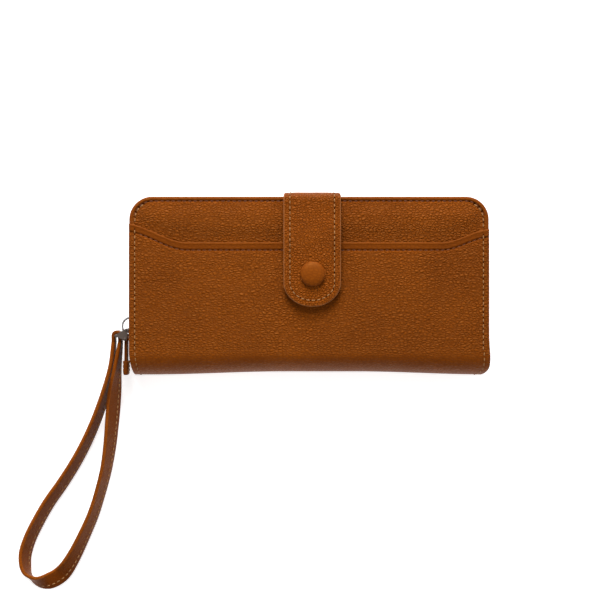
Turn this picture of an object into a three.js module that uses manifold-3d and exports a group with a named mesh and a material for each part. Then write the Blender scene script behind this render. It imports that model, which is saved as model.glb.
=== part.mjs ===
// Long zip-around wallet with a snap tab and a wrist strap, lying on its back.
// Millimetres. +X is to the right, +Y is from the spine fold to the zipped edge, +Z is out of the front cover.
// The origin is the middle of the back cover's outer face, which is the face that it rests on.

import * as THREE from "three";
import { mergeVertices } from "three/addons/utils/BufferGeometryUtils.js";
import Module from "manifold-3d";

const wasm = await Module();
wasm.setup();

// ---- Driving dimensions ----

const HALF_WIDTH = 97.5;
const TOP_Y = 48.5;
const SPINE_Y = -48.5;
const BODY_THICKNESS = 25;
const CORNER_RADIUS = 12.5;
const COVER_THICKNESS = 2.2;
const COVER_EDGE_ROUND = 1;
const GAP = 0.3;

const LINING_THICKNESS = 0.4;
const LINING_INSET = 3.2;
const CARD_PANEL_THICKNESS = 0.5;
const CARD_PANEL_HALF_WIDTH = 92;
const CARD_PANEL_TOPS = [38, 27, 16];
const INSIDE_BOTTOM_Y = -34;

const SLIP_POCKET_THICKNESS = 0.9;
const SLIP_POCKET_MIDDLE_Y = 23.4;
const SLIP_POCKET_SIDE_Y = 31;
const SLIP_POCKET_SLOPE = [73, 92];

const TAB_X = 1.7;
const TAB_WIDTH = 31;
const TAB_THICKNESS = 1.8;
const TAB_LIFT = 3.5;
const TAB_OUTER_Y = 50.6;
const TAB_CORNER_RADIUS = 5;
const TAB_END_Y = -11.3;
const TAB_END_ROUND = 13;
const TAB_SHOULDER_LENGTH = 13;
const TAB_ANCHOR_THICKNESS = 1.2;
const TAB_ANCHOR_START_Y = 30;

const SNAP = {
  x: 2,
  y: 6.4,
  capRadius: 6.75,
  capHeight: 3,
  socketRadius: 4.8,
  socketHole: 2.6,
  studRadius: 4.5,
  studBase: 0.5,
  studHeight: 1.5,
  postRadius: 1.6,
};

const ZIP_INSET = 2;
const ZIP_TAPE_THICKNESS = 0.6;
const ZIP_TEETH_THICKNESS = 2.4;
const ZIP_TEETH_WIDTH = 1.35;
const ZIP_ROW_GAP = 0.9;

const COIN_HALF_WIDTH = 90.5;
const COIN_WALL = 0.6;
const COIN_HOLLOW = 4.2;
const COIN_BOTTOM_Y = -33;
const COIN_TOP_Y = 37.3;
const COIN_ZIP_HALF_LENGTH = 80;

const SLIDER = {
  y: -22.8,
  length: 11,
  plate: 0.7,
  width: 9.4,
  clearance: 0.5,
  web: 0.4,
  bridgeReach: 4.8,
  bridgeHalf: 4.8,
  bridgeWire: 1.1,
  bridgeWidth: 2.4,
};
const HANGER_BAR_RADIUS = 0.5;
const HANGER_BARS = { slider: [-99.9, -24], strap: [-105.2, -27], pull: [-100.2, -28.8] };
const HANGER_PLATE = 1;
const HANGER_WINDOW = 10.6;

const STRAP_WIDTH = 9.5;
const STRAP_THICKNESS = 2.2;
const PULL_TAB = { width: 8.6, thickness: 1.5, eye: 1.55, endThickness: 2.7, endLength: 8, tipY: -48.8 };

// The wrist strap's middle line, from the left side of its end loop round to the right side.
const STRAP_ROUTE = [
  [-107, -30.4, 12.4],
  [-108.4, -43.4, 11.6],
  [-111.6, -57, 9.2],
  [-116.4, -71, 6.9],
  [-122, -84, 5.5],
  [-128.4, -96.3, 4.95],
  [-136, -108.5, 4.9],
  [-144, -120, 4.9],
  [-150.3, -131, 4.9],
  [-155, -141, 4.9],
  [-157.2, -150, 4.9],
  [-155.8, -158.5, 4.9],
  [-150.5, -163.2, 4.9],
  [-143.5, -163.3, 4.9],
  [-136.5, -158.8, 4.9],
  [-130.5, -150, 4.9],
  [-124.5, -138, 4.9],
  [-119.3, -126, 4.9],
  [-115.5, -114, 4.9],
  [-112.2, -101, 4.95],
  [-110, -87, 5.6],
  [-108.6, -73, 7],
  [-107.2, -59, 9.2],
  [-105.4, -44.5, 11.4],
  [-103.4, -30.4, 12.4],
];

// ---- Levels and places worked out from the driving dimensions ----

const MIDDLE_Z = BODY_THICKNESS / 2;
const FRONT_Z = BODY_THICKNESS;
const FRONT_COVER_Z = FRONT_Z - COVER_THICKNESS;
const SLIP_POCKET_Z = FRONT_Z + GAP;
const SPINE_RADIUS = (SLIP_POCKET_Z + SLIP_POCKET_THICKNESS) / 2;
const SPINE_CENTRE_Y = SPINE_Y + SPINE_RADIUS;
const PANEL_BOTTOM_Y = SPINE_CENTRE_Y + GAP;
const TAB_UNDER_Z = FRONT_Z + TAB_LIFT;
const TAB_TOP_Z = TAB_UNDER_Z + TAB_THICKNESS;
const TAB_SHOULDER_Y = TAB_OUTER_Y - TAB_SHOULDER_LENGTH;
const ZIP_LINE_X = HALF_WIDTH - ZIP_INSET;
const COIN_BACK_Z = MIDDLE_Z - COIN_HOLLOW / 2 - COIN_WALL;
const COIN_FRONT_Z = MIDDLE_Z + COIN_HOLLOW / 2;

// ---- Finishes ----

function finish(color, roughness, metalness = 0) {
  return new THREE.MeshStandardMaterial({ color, roughness, metalness });
}

const tanLeather = finish(0xa2622c, 0.55);
const lining = finish(0x8a6a48, 0.9);
const cardLeather = finish(0x9c6433, 0.6);
const tapeCloth = finish(0x6e4a28, 0.95);
const teethPlastic = finish(0x7a5730, 0.45);
const silverMetal = finish(0xc9c9c9, 0.25, 1);
const darkMetal = finish(0x4a4038, 0.35, 1);

// ---- Shape helpers ----

const wallet = new THREE.Group();

function addPart(name, geometry, material) {
  const mesh = new THREE.Mesh(geometry, material);
  mesh.name = name;
  wallet.add(mesh);
  return mesh;
}

// Extrudes a shape drawn in X and Y from one level to another.
function slab(shape, lowZ, highZ, options = {}) {
  const round = options.round ?? 0;
  const geometry = new THREE.ExtrudeGeometry(shape, {
    depth: highZ - lowZ - 2 * round,
    curveSegments: options.curveSegments ?? 8,
    bevelEnabled: round > 0,
    bevelThickness: round,
    bevelSize: round,
    bevelOffset: -round,
    bevelSegments: 3,
  });
  geometry.translate(0, 0, lowZ + round);
  return geometry;
}

// Extrudes a shape drawn as (y, z) along X.
function alongX(shape, lowX, highX) {
  const geometry = new THREE.ExtrudeGeometry(shape, { depth: highX - lowX, curveSegments: 8, bevelEnabled: false });
  const turn = new THREE.Matrix4().makeBasis(
    new THREE.Vector3(0, 1, 0),
    new THREE.Vector3(0, 0, 1),
    new THREE.Vector3(1, 0, 0),
  );
  geometry.applyMatrix4(turn);
  geometry.translate(lowX, 0, 0);
  return geometry;
}

// Extrudes a shape drawn as (z, x) along Y.
function alongY(shape, lowY, highY) {
  const geometry = new THREE.ExtrudeGeometry(shape, { depth: highY - lowY, curveSegments: 8, bevelEnabled: false });
  const turn = new THREE.Matrix4().makeBasis(
    new THREE.Vector3(0, 0, 1),
    new THREE.Vector3(1, 0, 0),
    new THREE.Vector3(0, 1, 0),
  );
  geometry.applyMatrix4(turn);
  geometry.translate(0, lowY, 0);
  return geometry;
}

function polygon(points) {
  return new THREE.Shape(points.map(([x, y]) => new THREE.Vector2(x, y)));
}

function rectangle(lowX, lowY, highX, highY) {
  return polygon([
    [lowX, lowY],
    [highX, lowY],
    [highX, highY],
    [lowX, highY],
  ]);
}

function box(low, high) {
  const size = high.map((value, axis) => value - low[axis]);
  const geometry = new THREE.BoxGeometry(...size);
  geometry.translate(...low.map((value, axis) => value + size[axis] / 2));
  return geometry;
}

function bar(x, y, lowZ, highZ, radius) {
  const geometry = new THREE.CylinderGeometry(radius, radius, highZ - lowZ, 16);
  geometry.rotateX(Math.PI / 2);
  geometry.translate(x, y, (lowZ + highZ) / 2);
  return geometry;
}

// Turns a profile of (radius, height) points about a vertical axis.
function turned(profile, x, y, segments = 32) {
  const geometry = new THREE.LatheGeometry(profile.map(([r, z]) => new THREE.Vector2(r, z)), segments);
  geometry.rotateX(Math.PI / 2);
  geometry.translate(x, y, 0);
  return geometry;
}

function toSolid(geometry) {
  const bare = new THREE.BufferGeometry();
  bare.setAttribute("position", geometry.getAttribute("position").clone());
  if (geometry.index) {
    bare.setIndex(geometry.index.clone());
  }
  const merged = mergeVertices(bare, 1e-4);
  return new wasm.Manifold(
    new wasm.Mesh({
      numProp: 3,
      vertProperties: new Float32Array(merged.getAttribute("position").array),
      triVerts: new Uint32Array(merged.index.array),
    }),
  );
}

function toGeometry(solid) {
  const mesh = solid.getMesh();
  const geometry = new THREE.BufferGeometry();
  geometry.setAttribute("position", new THREE.BufferAttribute(new Float32Array(mesh.vertProperties), 3));
  geometry.setIndex(new THREE.BufferAttribute(new Uint32Array(mesh.triVerts), 1));
  geometry.computeVertexNormals();
  return geometry;
}

// ---- Outlines ----

// The cover's outline moved inwards: square at the spine, rounded at the two zipped corners.
function coverOutline(inset, bottomY) {
  const x = HALF_WIDTH - inset;
  const radius = CORNER_RADIUS - inset;
  const cornerX = HALF_WIDTH - CORNER_RADIUS;
  const cornerY = TOP_Y - CORNER_RADIUS;
  const shape = new THREE.Shape();
  shape.moveTo(-x, bottomY);
  shape.lineTo(x, bottomY);
  shape.lineTo(x, cornerY);
  shape.absarc(cornerX, cornerY, radius, 0, Math.PI / 2, false);
  shape.absarc(-cornerX, cornerY, radius, Math.PI / 2, Math.PI, false);
  shape.closePath();
  return shape;
}

// A band of the given thickness that runs up the left side, across the top and down the right side.
function sideBand(thickness) {
  const outer = CORNER_RADIUS - ZIP_INSET + thickness / 2;
  const inner = CORNER_RADIUS - ZIP_INSET - thickness / 2;
  const cornerX = HALF_WIDTH - CORNER_RADIUS;
  const cornerY = TOP_Y - CORNER_RADIUS;
  const shape = new THREE.Shape();
  shape.moveTo(cornerX + inner, INSIDE_BOTTOM_Y);
  shape.lineTo(cornerX + outer, INSIDE_BOTTOM_Y);
  shape.absarc(cornerX, cornerY, outer, 0, Math.PI / 2, false);
  shape.absarc(-cornerX, cornerY, outer, Math.PI / 2, Math.PI, false);
  shape.lineTo(-cornerX - outer, INSIDE_BOTTOM_Y);
  shape.lineTo(-cornerX - inner, INSIDE_BOTTOM_Y);
  shape.absarc(-cornerX, cornerY, inner, Math.PI, Math.PI / 2, true);
  shape.absarc(cornerX, cornerY, inner, Math.PI / 2, 0, true);
  shape.closePath();
  return shape;
}

// A quarter of the spine's round, drawn as (y, z), from one angle to another about the spine's centre.
function spineQuarter(startDegrees, endDegrees) {
  const start = THREE.MathUtils.degToRad(startDegrees);
  const end = THREE.MathUtils.degToRad(endDegrees);
  const inner = SPINE_RADIUS - COVER_THICKNESS;
  const shape = new THREE.Shape();
  shape.absarc(SPINE_CENTRE_Y, SPINE_RADIUS, SPINE_RADIUS, start, end, false);
  shape.absarc(SPINE_CENTRE_Y, SPINE_RADIUS, inner, end, start, true);
  shape.closePath();
  return shape;
}

// ---- Covers and spine ----

function buildBackCover() {
  const cover = toSolid(slab(coverOutline(0, PANEL_BOTTOM_Y), 0, COVER_THICKNESS, { round: COVER_EDGE_ROUND }));
  const half = TAB_WIDTH / 2 + GAP;
  const recess = box(
    [TAB_X - half, TAB_ANCHOR_START_Y - GAP, -1],
    [TAB_X + half, TOP_Y + 1, TAB_ANCHOR_THICKNESS + GAP],
  );
  return toGeometry(cover.subtract(toSolid(recess)));
}

function buildSlipPocket() {
  const [slopeStart, slopeEnd] = SLIP_POCKET_SLOPE;
  const shape = polygon([
    [-HALF_WIDTH, PANEL_BOTTOM_Y],
    [HALF_WIDTH, PANEL_BOTTOM_Y],
    [HALF_WIDTH, SLIP_POCKET_SIDE_Y],
    [slopeEnd, SLIP_POCKET_SIDE_Y],
    [slopeStart, SLIP_POCKET_MIDDLE_Y],
    [-slopeStart, SLIP_POCKET_MIDDLE_Y],
    [-slopeEnd, SLIP_POCKET_SIDE_Y],
    [-HALF_WIDTH, SLIP_POCKET_SIDE_Y],
  ]);
  return slab(shape, SLIP_POCKET_Z, SLIP_POCKET_Z + SLIP_POCKET_THICKNESS);
}

const spineSplit = THREE.MathUtils.radToDeg(GAP / 2 / SPINE_RADIUS);
addPart("back_cover", buildBackCover(), tanLeather);
addPart("spine_back", alongX(spineQuarter(180 + spineSplit, 270), -HALF_WIDTH, HALF_WIDTH), tanLeather);
addPart("spine_front", alongX(spineQuarter(90, 180 - spineSplit), -HALF_WIDTH, HALF_WIDTH), tanLeather);
addPart(
  "front_cover",
  slab(coverOutline(0, PANEL_BOTTOM_Y), FRONT_COVER_Z, FRONT_Z, { round: COVER_EDGE_ROUND }),
  tanLeather,
);
addPart("slip_pocket", buildSlipPocket(), tanLeather);

// ---- Linings and card slot panels ----

// Stacks the lining and the card panels inwards from a cover's inner face.
// The direction is 1 from the back cover and -1 from the front cover.
function addInside(side, innerFaceZ, direction) {
  let level = innerFaceZ + direction * GAP;
  function layer(name, shape, thickness, material) {
    const far = level + direction * thickness;
    addPart(name, slab(shape, Math.min(level, far), Math.max(level, far)), material);
    level = far + direction * GAP;
  }
  layer(`${side}_lining`, coverOutline(LINING_INSET, PANEL_BOTTOM_Y), LINING_THICKNESS, lining);
  CARD_PANEL_TOPS.forEach((topY, index) => {
    const shape = rectangle(-CARD_PANEL_HALF_WIDTH, INSIDE_BOTTOM_Y, CARD_PANEL_HALF_WIDTH, topY);
    layer(`${side}_card_panel_${index + 1}`, shape, CARD_PANEL_THICKNESS, cardLeather);
  });
  return level;
}

const backSpaceZ = addInside("back", COVER_THICKNESS, 1);
const frontSpaceZ = addInside("front", FRONT_COVER_Z, -1);

// ---- Main zip: two tapes and two rows of teeth round three sides ----

const rowBackZ = MIDDLE_Z - ZIP_ROW_GAP / 2;
const rowFrontZ = MIDDLE_Z + ZIP_ROW_GAP / 2;

addPart(
  "back_zip_tape",
  slab(sideBand(ZIP_TAPE_THICKNESS), COVER_THICKNESS + GAP, rowBackZ - ZIP_TEETH_WIDTH - GAP),
  tapeCloth,
);
addPart("back_zip_teeth", slab(sideBand(ZIP_TEETH_THICKNESS), rowBackZ - ZIP_TEETH_WIDTH, rowBackZ), teethPlastic);
addPart("front_zip_teeth", slab(sideBand(ZIP_TEETH_THICKNESS), rowFrontZ, rowFrontZ + ZIP_TEETH_WIDTH), teethPlastic);
addPart(
  "front_zip_tape",
  slab(sideBand(ZIP_TAPE_THICKNESS), rowFrontZ + ZIP_TEETH_WIDTH + GAP, FRONT_COVER_Z - GAP),
  tapeCloth,
);

// ---- Side gussets: each half is one inward fold ----

const GUSSET = { outerX: 92.5, innerX: 82, cloth: 0.5, lowY: -33, highY: 40 };

function gussetFold(side, lowZ, highZ) {
  const middle = (lowZ + highZ) / 2;
  const x = (value) => side * value;
  const points = [
    [lowZ, x(GUSSET.outerX)],
    [lowZ, x(GUSSET.outerX - GUSSET.cloth * 4)],
    [middle, x(GUSSET.innerX + GUSSET.cloth)],
    [highZ, x(GUSSET.outerX - GUSSET.cloth * 4)],
    [highZ, x(GUSSET.outerX)],
    [highZ - GUSSET.cloth, x(GUSSET.outerX)],
    [middle, x(GUSSET.innerX + GUSSET.cloth * 4)],
    [lowZ + GUSSET.cloth, x(GUSSET.outerX)],
  ];
  return alongY(polygon(points), GUSSET.lowY, GUSSET.highY);
}

for (const [sideName, side] of [
  ["left", -1],
  ["right", 1],
]) {
  addPart(`${sideName}_gusset_back`, gussetFold(side, backSpaceZ, COIN_BACK_Z - GAP), lining);
  addPart(`${sideName}_gusset_front`, gussetFold(side, COIN_FRONT_Z + COIN_WALL + GAP, frontSpaceZ), lining);
}

// ---- Coin pocket in the middle, with its own zip along the top ----

const COIN_ZIP = { y: 37.6, tape: 0.5, teeth: 2, tapeWidth: 1.1, rowWidth: 1.1 };

function coinEdgeStrip() {
  const outer = COIN_HALF_WIDTH;
  const inner = COIN_HALF_WIDTH - 1;
  return polygon([
    [-outer, COIN_BOTTOM_Y],
    [outer, COIN_BOTTOM_Y],
    [outer, COIN_TOP_Y],
    [inner, COIN_TOP_Y],
    [inner, COIN_BOTTOM_Y + 1],
    [-inner, COIN_BOTTOM_Y + 1],
    [-inner, COIN_TOP_Y],
    [-outer, COIN_TOP_Y],
  ]);
}

function addCoinPocket() {
  const wall = rectangle(-COIN_HALF_WIDTH, COIN_BOTTOM_Y, COIN_HALF_WIDTH, COIN_TOP_Y);
  addPart("coin_pocket_back", slab(wall, COIN_BACK_Z, COIN_BACK_Z + COIN_WALL), lining);
  addPart("coin_pocket_front", slab(wall, COIN_FRONT_Z, COIN_FRONT_Z + COIN_WALL), lining);
  addPart("coin_pocket_edge", slab(coinEdgeStrip(), COIN_BACK_Z + COIN_WALL + GAP, COIN_FRONT_Z - GAP), lining);
  for (const [side, direction] of [
    ["back", -1],
    ["front", 1],
  ]) {
    const outerZ = MIDDLE_Z + direction * (COIN_HOLLOW / 2 + COIN_WALL);
    const tapeZ = [outerZ, outerZ - direction * COIN_ZIP.tapeWidth].sort((a, b) => a - b);
    const rowStart = outerZ - direction * (COIN_ZIP.tapeWidth + GAP);
    const rowZ = [rowStart, rowStart - direction * COIN_ZIP.rowWidth].sort((a, b) => a - b);
    const tapeMiddleY = COIN_ZIP.y + COIN_ZIP.tape / 2;
    addPart(
      `coin_zip_${side}_tape`,
      box(
        [-COIN_ZIP_HALF_LENGTH, COIN_ZIP.y, tapeZ[0]],
        [COIN_ZIP_HALF_LENGTH, COIN_ZIP.y + COIN_ZIP.tape, tapeZ[1]],
      ),
      tapeCloth,
    );
    addPart(
      `coin_zip_${side}_teeth`,
      box(
        [-COIN_ZIP_HALF_LENGTH, tapeMiddleY - COIN_ZIP.teeth / 2, rowZ[0]],
        [COIN_ZIP_HALF_LENGTH, tapeMiddleY + COIN_ZIP.teeth / 2, rowZ[1]],
      ),
      teethPlastic,
    );
  }
}

addCoinPocket();

// The coin zip's slider: two plates joined by a web that runs between the rows, and a low bridge for its pull.
const COIN_SLIDER = {
  x: 70,
  halfLength: 4,
  plate: 0.6,
  outerHalfWidth: 2.5,
  innerHalfWidth: 1.7,
  clearance: 0.4,
  web: 0.2,
  bridgeHalf: 3,
  bridgeHeight: 2.4,
  bridgeWireAlong: 0.8,
  bridgeWireOut: 0.6,
  bridgeWidth: 1.2,
};
const COIN_PULL = { lowY: 40.3, length: 17, halfWidth: 2.4, bar: 0.4, windowLength: 5, windowHalfWidth: 1.5 };
const SINK = 0.1;

function buildCoinSlider() {
  const rowMiddle = COIN_ZIP.y + COIN_ZIP.tape / 2;
  const outerY = rowMiddle + COIN_ZIP.teeth / 2 + COIN_SLIDER.clearance;
  const innerY = rowMiddle - COIN_ZIP.teeth / 2 - COIN_SLIDER.clearance;
  const lowX = COIN_SLIDER.x - COIN_SLIDER.halfLength;
  const highX = COIN_SLIDER.x + COIN_SLIDER.halfLength;
  const { plate, outerHalfWidth, innerHalfWidth, bridgeHalf, bridgeHeight } = COIN_SLIDER;
  const outer = box([lowX, outerY, MIDDLE_Z - outerHalfWidth], [highX, outerY + plate, MIDDLE_Z + outerHalfWidth]);
  const inner = box([lowX, innerY - plate, MIDDLE_Z - innerHalfWidth], [highX, innerY, MIDDLE_Z + innerHalfWidth]);
  const web = box(
    [lowX + 1, innerY - SINK, MIDDLE_Z - COIN_SLIDER.web / 2],
    [highX - 1, outerY + SINK, MIDDLE_Z + COIN_SLIDER.web / 2],
  );
  const footY = outerY + plate / 2;
  const hollowHalf = bridgeHalf - COIN_SLIDER.bridgeWireAlong;
  const hollowHeight = bridgeHeight - COIN_SLIDER.bridgeWireOut;
  const bridge = new THREE.Shape();
  bridge.absellipse(COIN_SLIDER.x, footY, bridgeHalf, bridgeHeight, 0, Math.PI, false, 0);
  bridge.absellipse(COIN_SLIDER.x, footY, hollowHalf, hollowHeight, Math.PI, 0, true, 0);
  const halfBridge = COIN_SLIDER.bridgeWidth / 2;
  const solid = toSolid(outer)
    .add(toSolid(inner))
    .add(toSolid(web))
    .add(toSolid(slab(bridge, MIDDLE_Z - halfBridge, MIDDLE_Z + halfBridge)));
  return toGeometry(solid);
}

// A flat pull whose end bar lies inside the bridge.
function buildCoinPull() {
  const { lowY, length, halfWidth, bar: halfBar, windowLength, windowHalfWidth } = COIN_PULL;
  const barX = COIN_SLIDER.x;
  const outline = polygon([
    [MIDDLE_Z - halfWidth, barX + halfBar],
    [MIDDLE_Z - halfWidth, barX - length],
    [MIDDLE_Z + halfWidth, barX - length],
    [MIDDLE_Z + halfWidth, barX + halfBar],
  ]);
  const window = new THREE.Path(
    [
      [MIDDLE_Z - windowHalfWidth, barX - halfBar],
      [MIDDLE_Z - windowHalfWidth, barX - windowLength],
      [MIDDLE_Z + windowHalfWidth, barX - windowLength],
      [MIDDLE_Z + windowHalfWidth, barX - halfBar],
    ].map(([z, x]) => new THREE.Vector2(z, x)),
  );
  outline.holes.push(window);
  return alongY(outline, lowY, lowY + 0.8);
}

addPart("coin_slider", buildCoinSlider(), silverMetal);
addPart("coin_pull", buildCoinPull(), silverMetal);

// ---- Snap tab ----

const tabLowX = TAB_X - TAB_WIDTH / 2;
const tabHighX = TAB_X + TAB_WIDTH / 2;
const tabCornerY = TAB_OUTER_Y - TAB_CORNER_RADIUS;
const tabCornerZ = TAB_TOP_Z - TAB_CORNER_RADIUS;
const TAB_SPLIT = THREE.MathUtils.degToRad(0.6);

// The stretch of leather up the back, over the zipped edge and half way round the corner.
function tabBridge() {
  const shape = new THREE.Shape();
  const inner = TAB_CORNER_RADIUS - TAB_THICKNESS;
  const middle = Math.PI / 4;
  shape.moveTo(TAB_OUTER_Y - TAB_THICKNESS, GAP);
  shape.lineTo(TAB_OUTER_Y, GAP);
  shape.absarc(tabCornerY, tabCornerZ, TAB_CORNER_RADIUS, 0, middle - TAB_SPLIT, false);
  shape.absarc(tabCornerY, tabCornerZ, inner, middle - TAB_SPLIT, 0, true);
  shape.closePath();
  return shape;
}

// The rest of the corner and the first stretch over the front cover.
function tabShoulder() {
  const shape = new THREE.Shape();
  const inner = TAB_CORNER_RADIUS - TAB_THICKNESS;
  const middle = Math.PI / 4;
  shape.absarc(tabCornerY, tabCornerZ, TAB_CORNER_RADIUS, middle + TAB_SPLIT, Math.PI / 2, false);
  shape.lineTo(TAB_SHOULDER_Y, TAB_TOP_Z);
  shape.lineTo(TAB_SHOULDER_Y, TAB_UNDER_Z);
  shape.absarc(tabCornerY, tabCornerZ, inner, Math.PI / 2, middle + TAB_SPLIT, true);
  shape.closePath();
  return shape;
}

function tabFlap() {
  const half = TAB_WIDTH / 2;
  const roundY = TAB_END_Y + TAB_END_ROUND;
  const shape = new THREE.Shape();
  shape.moveTo(TAB_X + half, roundY);
  shape.lineTo(TAB_X + half, TAB_SHOULDER_Y - GAP);
  shape.lineTo(TAB_X - half, TAB_SHOULDER_Y - GAP);
  shape.lineTo(TAB_X - half, roundY);
  shape.absellipse(TAB_X, roundY, half, TAB_END_ROUND, Math.PI, 2 * Math.PI, false, 0);
  return shape;
}

addPart(
  "tab_anchor",
  box([tabLowX, TAB_ANCHOR_START_Y, 0], [tabHighX, TAB_OUTER_Y - TAB_THICKNESS - GAP, TAB_ANCHOR_THICKNESS]),
  tanLeather,
);
addPart("tab_bridge", alongX(tabBridge(), tabLowX, tabHighX), tanLeather);
addPart("tab_shoulder", alongX(tabShoulder(), tabLowX, tabHighX), tanLeather);
addPart("tab_flap", slab(tabFlap(), TAB_UNDER_Z, TAB_TOP_Z, { curveSegments: 16 }), tanLeather);

function snapCap() {
  const { capRadius, capHeight } = SNAP;
  const low = TAB_TOP_Z + GAP;
  return [
    [0, low],
    [capRadius - 0.6, low],
    [capRadius, low + 0.6],
    [capRadius - 0.3, low + capHeight * 0.45],
    [capRadius * 0.75, low + capHeight * 0.75],
    [capRadius * 0.4, low + capHeight * 0.95],
    [0, low + capHeight],
  ];
}

function snapSocket() {
  const high = TAB_UNDER_Z - GAP;
  const low = high - 0.9;
  return [
    [SNAP.socketHole, low],
    [SNAP.socketRadius, low],
    [SNAP.socketRadius, high],
    [SNAP.socketHole, high],
    [SNAP.socketHole, low],
  ];
}

function snapStud() {
  const low = SLIP_POCKET_Z + SLIP_POCKET_THICKNESS + GAP;
  return [
    [0, low],
    [SNAP.studRadius, low],
    [SNAP.studRadius, low + SNAP.studBase],
    [SNAP.postRadius, low + SNAP.studBase],
    [SNAP.postRadius, low + SNAP.studHeight],
    [0, low + SNAP.studHeight],
  ];
}

addPart("snap_cap", turned(snapCap(), SNAP.x, SNAP.y), tanLeather);
addPart("snap_socket", turned(snapSocket(), SNAP.x, SNAP.y), silverMetal);
addPart("snap_stud", turned(snapStud(), SNAP.x, SNAP.y), silverMetal);

// ---- Main zip slider, the hanger on its bridge, the pull tab and the wrist strap ----

function buildZipSlider() {
  const rowHalf = ZIP_TEETH_THICKNESS / 2 + SLIDER.clearance;
  const lowY = SLIDER.y - SLIDER.length / 2;
  const highY = SLIDER.y + SLIDER.length / 2;
  const lowZ = MIDDLE_Z - SLIDER.width / 2;
  const highZ = MIDDLE_Z + SLIDER.width / 2;
  const outerX = -ZIP_LINE_X - rowHalf;
  const innerX = -ZIP_LINE_X + rowHalf;
  const outer = box([outerX - SLIDER.plate, lowY, lowZ], [outerX, highY, highZ]);
  const inner = box([innerX, lowY, lowZ], [innerX + SLIDER.plate, highY, highZ]);
  const web = box(
    [outerX - SINK, lowY + 1, MIDDLE_Z - SLIDER.web / 2],
    [innerX + SINK, highY - 4, MIDDLE_Z + SLIDER.web / 2],
  );
  const bridge = new THREE.Shape();
  const half = SLIDER.bridgeWire / 2;
  const footX = outerX - 0.3;
  const middleY = SLIDER.y + 0.5;
  const { bridgeReach: reach, bridgeHalf: side } = SLIDER;
  bridge.absellipse(footX, middleY, reach + half, side + half, Math.PI / 2, 1.5 * Math.PI, false, 0);
  bridge.absellipse(footX, middleY, reach - half, side - half, 1.5 * Math.PI, Math.PI / 2, true, 0);
  const halfWidth = SLIDER.bridgeWidth / 2;
  const solid = toSolid(outer)
    .add(toSolid(inner))
    .add(toSolid(web))
    .add(toSolid(slab(bridge, MIDDLE_Z - halfWidth, MIDDLE_Z + halfWidth, { curveSegments: 16 })));
  return toGeometry(solid);
}

// Two triangular plates joined by three upright bars: for the slider's bridge, the strap and the pull tab.
function buildHanger() {
  const corners = Object.values(HANGER_BARS);
  const lowZ = MIDDLE_Z - HANGER_WINDOW / 2;
  const highZ = MIDDLE_Z + HANGER_WINDOW / 2;
  const plateShape = polygon(corners);
  const edgeRound = 0.2;
  const rim = 0.8;
  function plate(fromZ) {
    const geometry = new THREE.ExtrudeGeometry(plateShape, {
      depth: HANGER_PLATE - 2 * edgeRound,
      bevelEnabled: true,
      bevelThickness: edgeRound,
      bevelSize: rim,
      bevelSegments: 2,
    });
    geometry.translate(0, 0, fromZ + edgeRound);
    return toSolid(geometry);
  }
  let solid = plate(lowZ - HANGER_PLATE).add(plate(highZ));
  for (const [x, y] of corners) {
    solid = solid.add(toSolid(bar(x, y, lowZ - HANGER_PLATE / 2, highZ + HANGER_PLATE / 2, HANGER_BAR_RADIUS)));
  }
  return toGeometry(solid);
}

// The pull tab: leather folded round its bar, with a thicker sewn end.
function buildPullTab() {
  const [x, y] = HANGER_BARS.pull;
  const { eye } = PULL_TAB;
  const half = PULL_TAB.thickness / 2;
  const endHalf = PULL_TAB.endThickness / 2;
  const endTop = PULL_TAB.tipY + PULL_TAB.endLength;
  const join = Math.asin(half / eye);
  const shape = new THREE.Shape();
  shape.absarc(x, y, eye, -Math.PI / 2 + join, 1.5 * Math.PI - join, false);
  shape.lineTo(x - half, endTop + 1);
  shape.lineTo(x - endHalf, endTop);
  shape.lineTo(x - endHalf, PULL_TAB.tipY + endHalf);
  shape.absarc(x, PULL_TAB.tipY + endHalf, endHalf, Math.PI, 2 * Math.PI, false);
  shape.lineTo(x + endHalf, endTop);
  shape.lineTo(x + half, endTop + 1);
  shape.closePath();
  const hole = new THREE.Path();
  hole.absarc(x, y, HANGER_BAR_RADIUS + GAP, 0, 2 * Math.PI, true);
  shape.holes.push(hole);
  return slab(shape, MIDDLE_Z - PULL_TAB.width / 2, MIDDLE_Z + PULL_TAB.width / 2);
}

// The strap's two sewn ends, folded round the hanger's bar.
function buildStrapEndLoop() {
  const [x, y] = HANGER_BARS.strap;
  const outer = (STRAP_ROUTE.at(-1)[0] - STRAP_ROUTE[0][0] + STRAP_THICKNESS) / 2;
  const shape = new THREE.Shape();
  shape.absarc(x, y, outer, 0, 2 * Math.PI, false);
  const hole = new THREE.Path();
  hole.absarc(x, y, HANGER_BAR_RADIUS + GAP, 0, 2 * Math.PI, true);
  shape.holes.push(hole);
  return slab(shape, MIDDLE_Z - STRAP_WIDTH / 2, MIDDLE_Z + STRAP_WIDTH / 2);
}

// A flat strap that stands on its edge: a section with eight sides swept along the route.
function buildWristStrap() {
  const route = new THREE.CatmullRomCurve3(STRAP_ROUTE.map((point) => new THREE.Vector3(...point)));
  const tall = STRAP_WIDTH / 2;
  const thick = STRAP_THICKNESS / 2;
  const cut = 0.7;
  const section = polygon([
    [-tall + cut, -thick],
    [tall - cut, -thick],
    [tall, -thick + cut],
    [tall, thick - cut],
    [tall - cut, thick],
    [-tall + cut, thick],
    [-tall, thick - cut],
    [-tall, -thick + cut],
  ]);
  return new THREE.ExtrudeGeometry(section, { steps: 76, extrudePath: route, bevelEnabled: false });
}

addPart("zip_slider", buildZipSlider(), silverMetal);
addPart("strap_hanger", buildHanger(), darkMetal);
addPart("pull_tab", buildPullTab(), tanLeather);
addPart("strap_end_loop", buildStrapEndLoop(), tanLeather);
addPart("wrist_strap", buildWristStrap(), tanLeather);

export default wallet;
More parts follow.
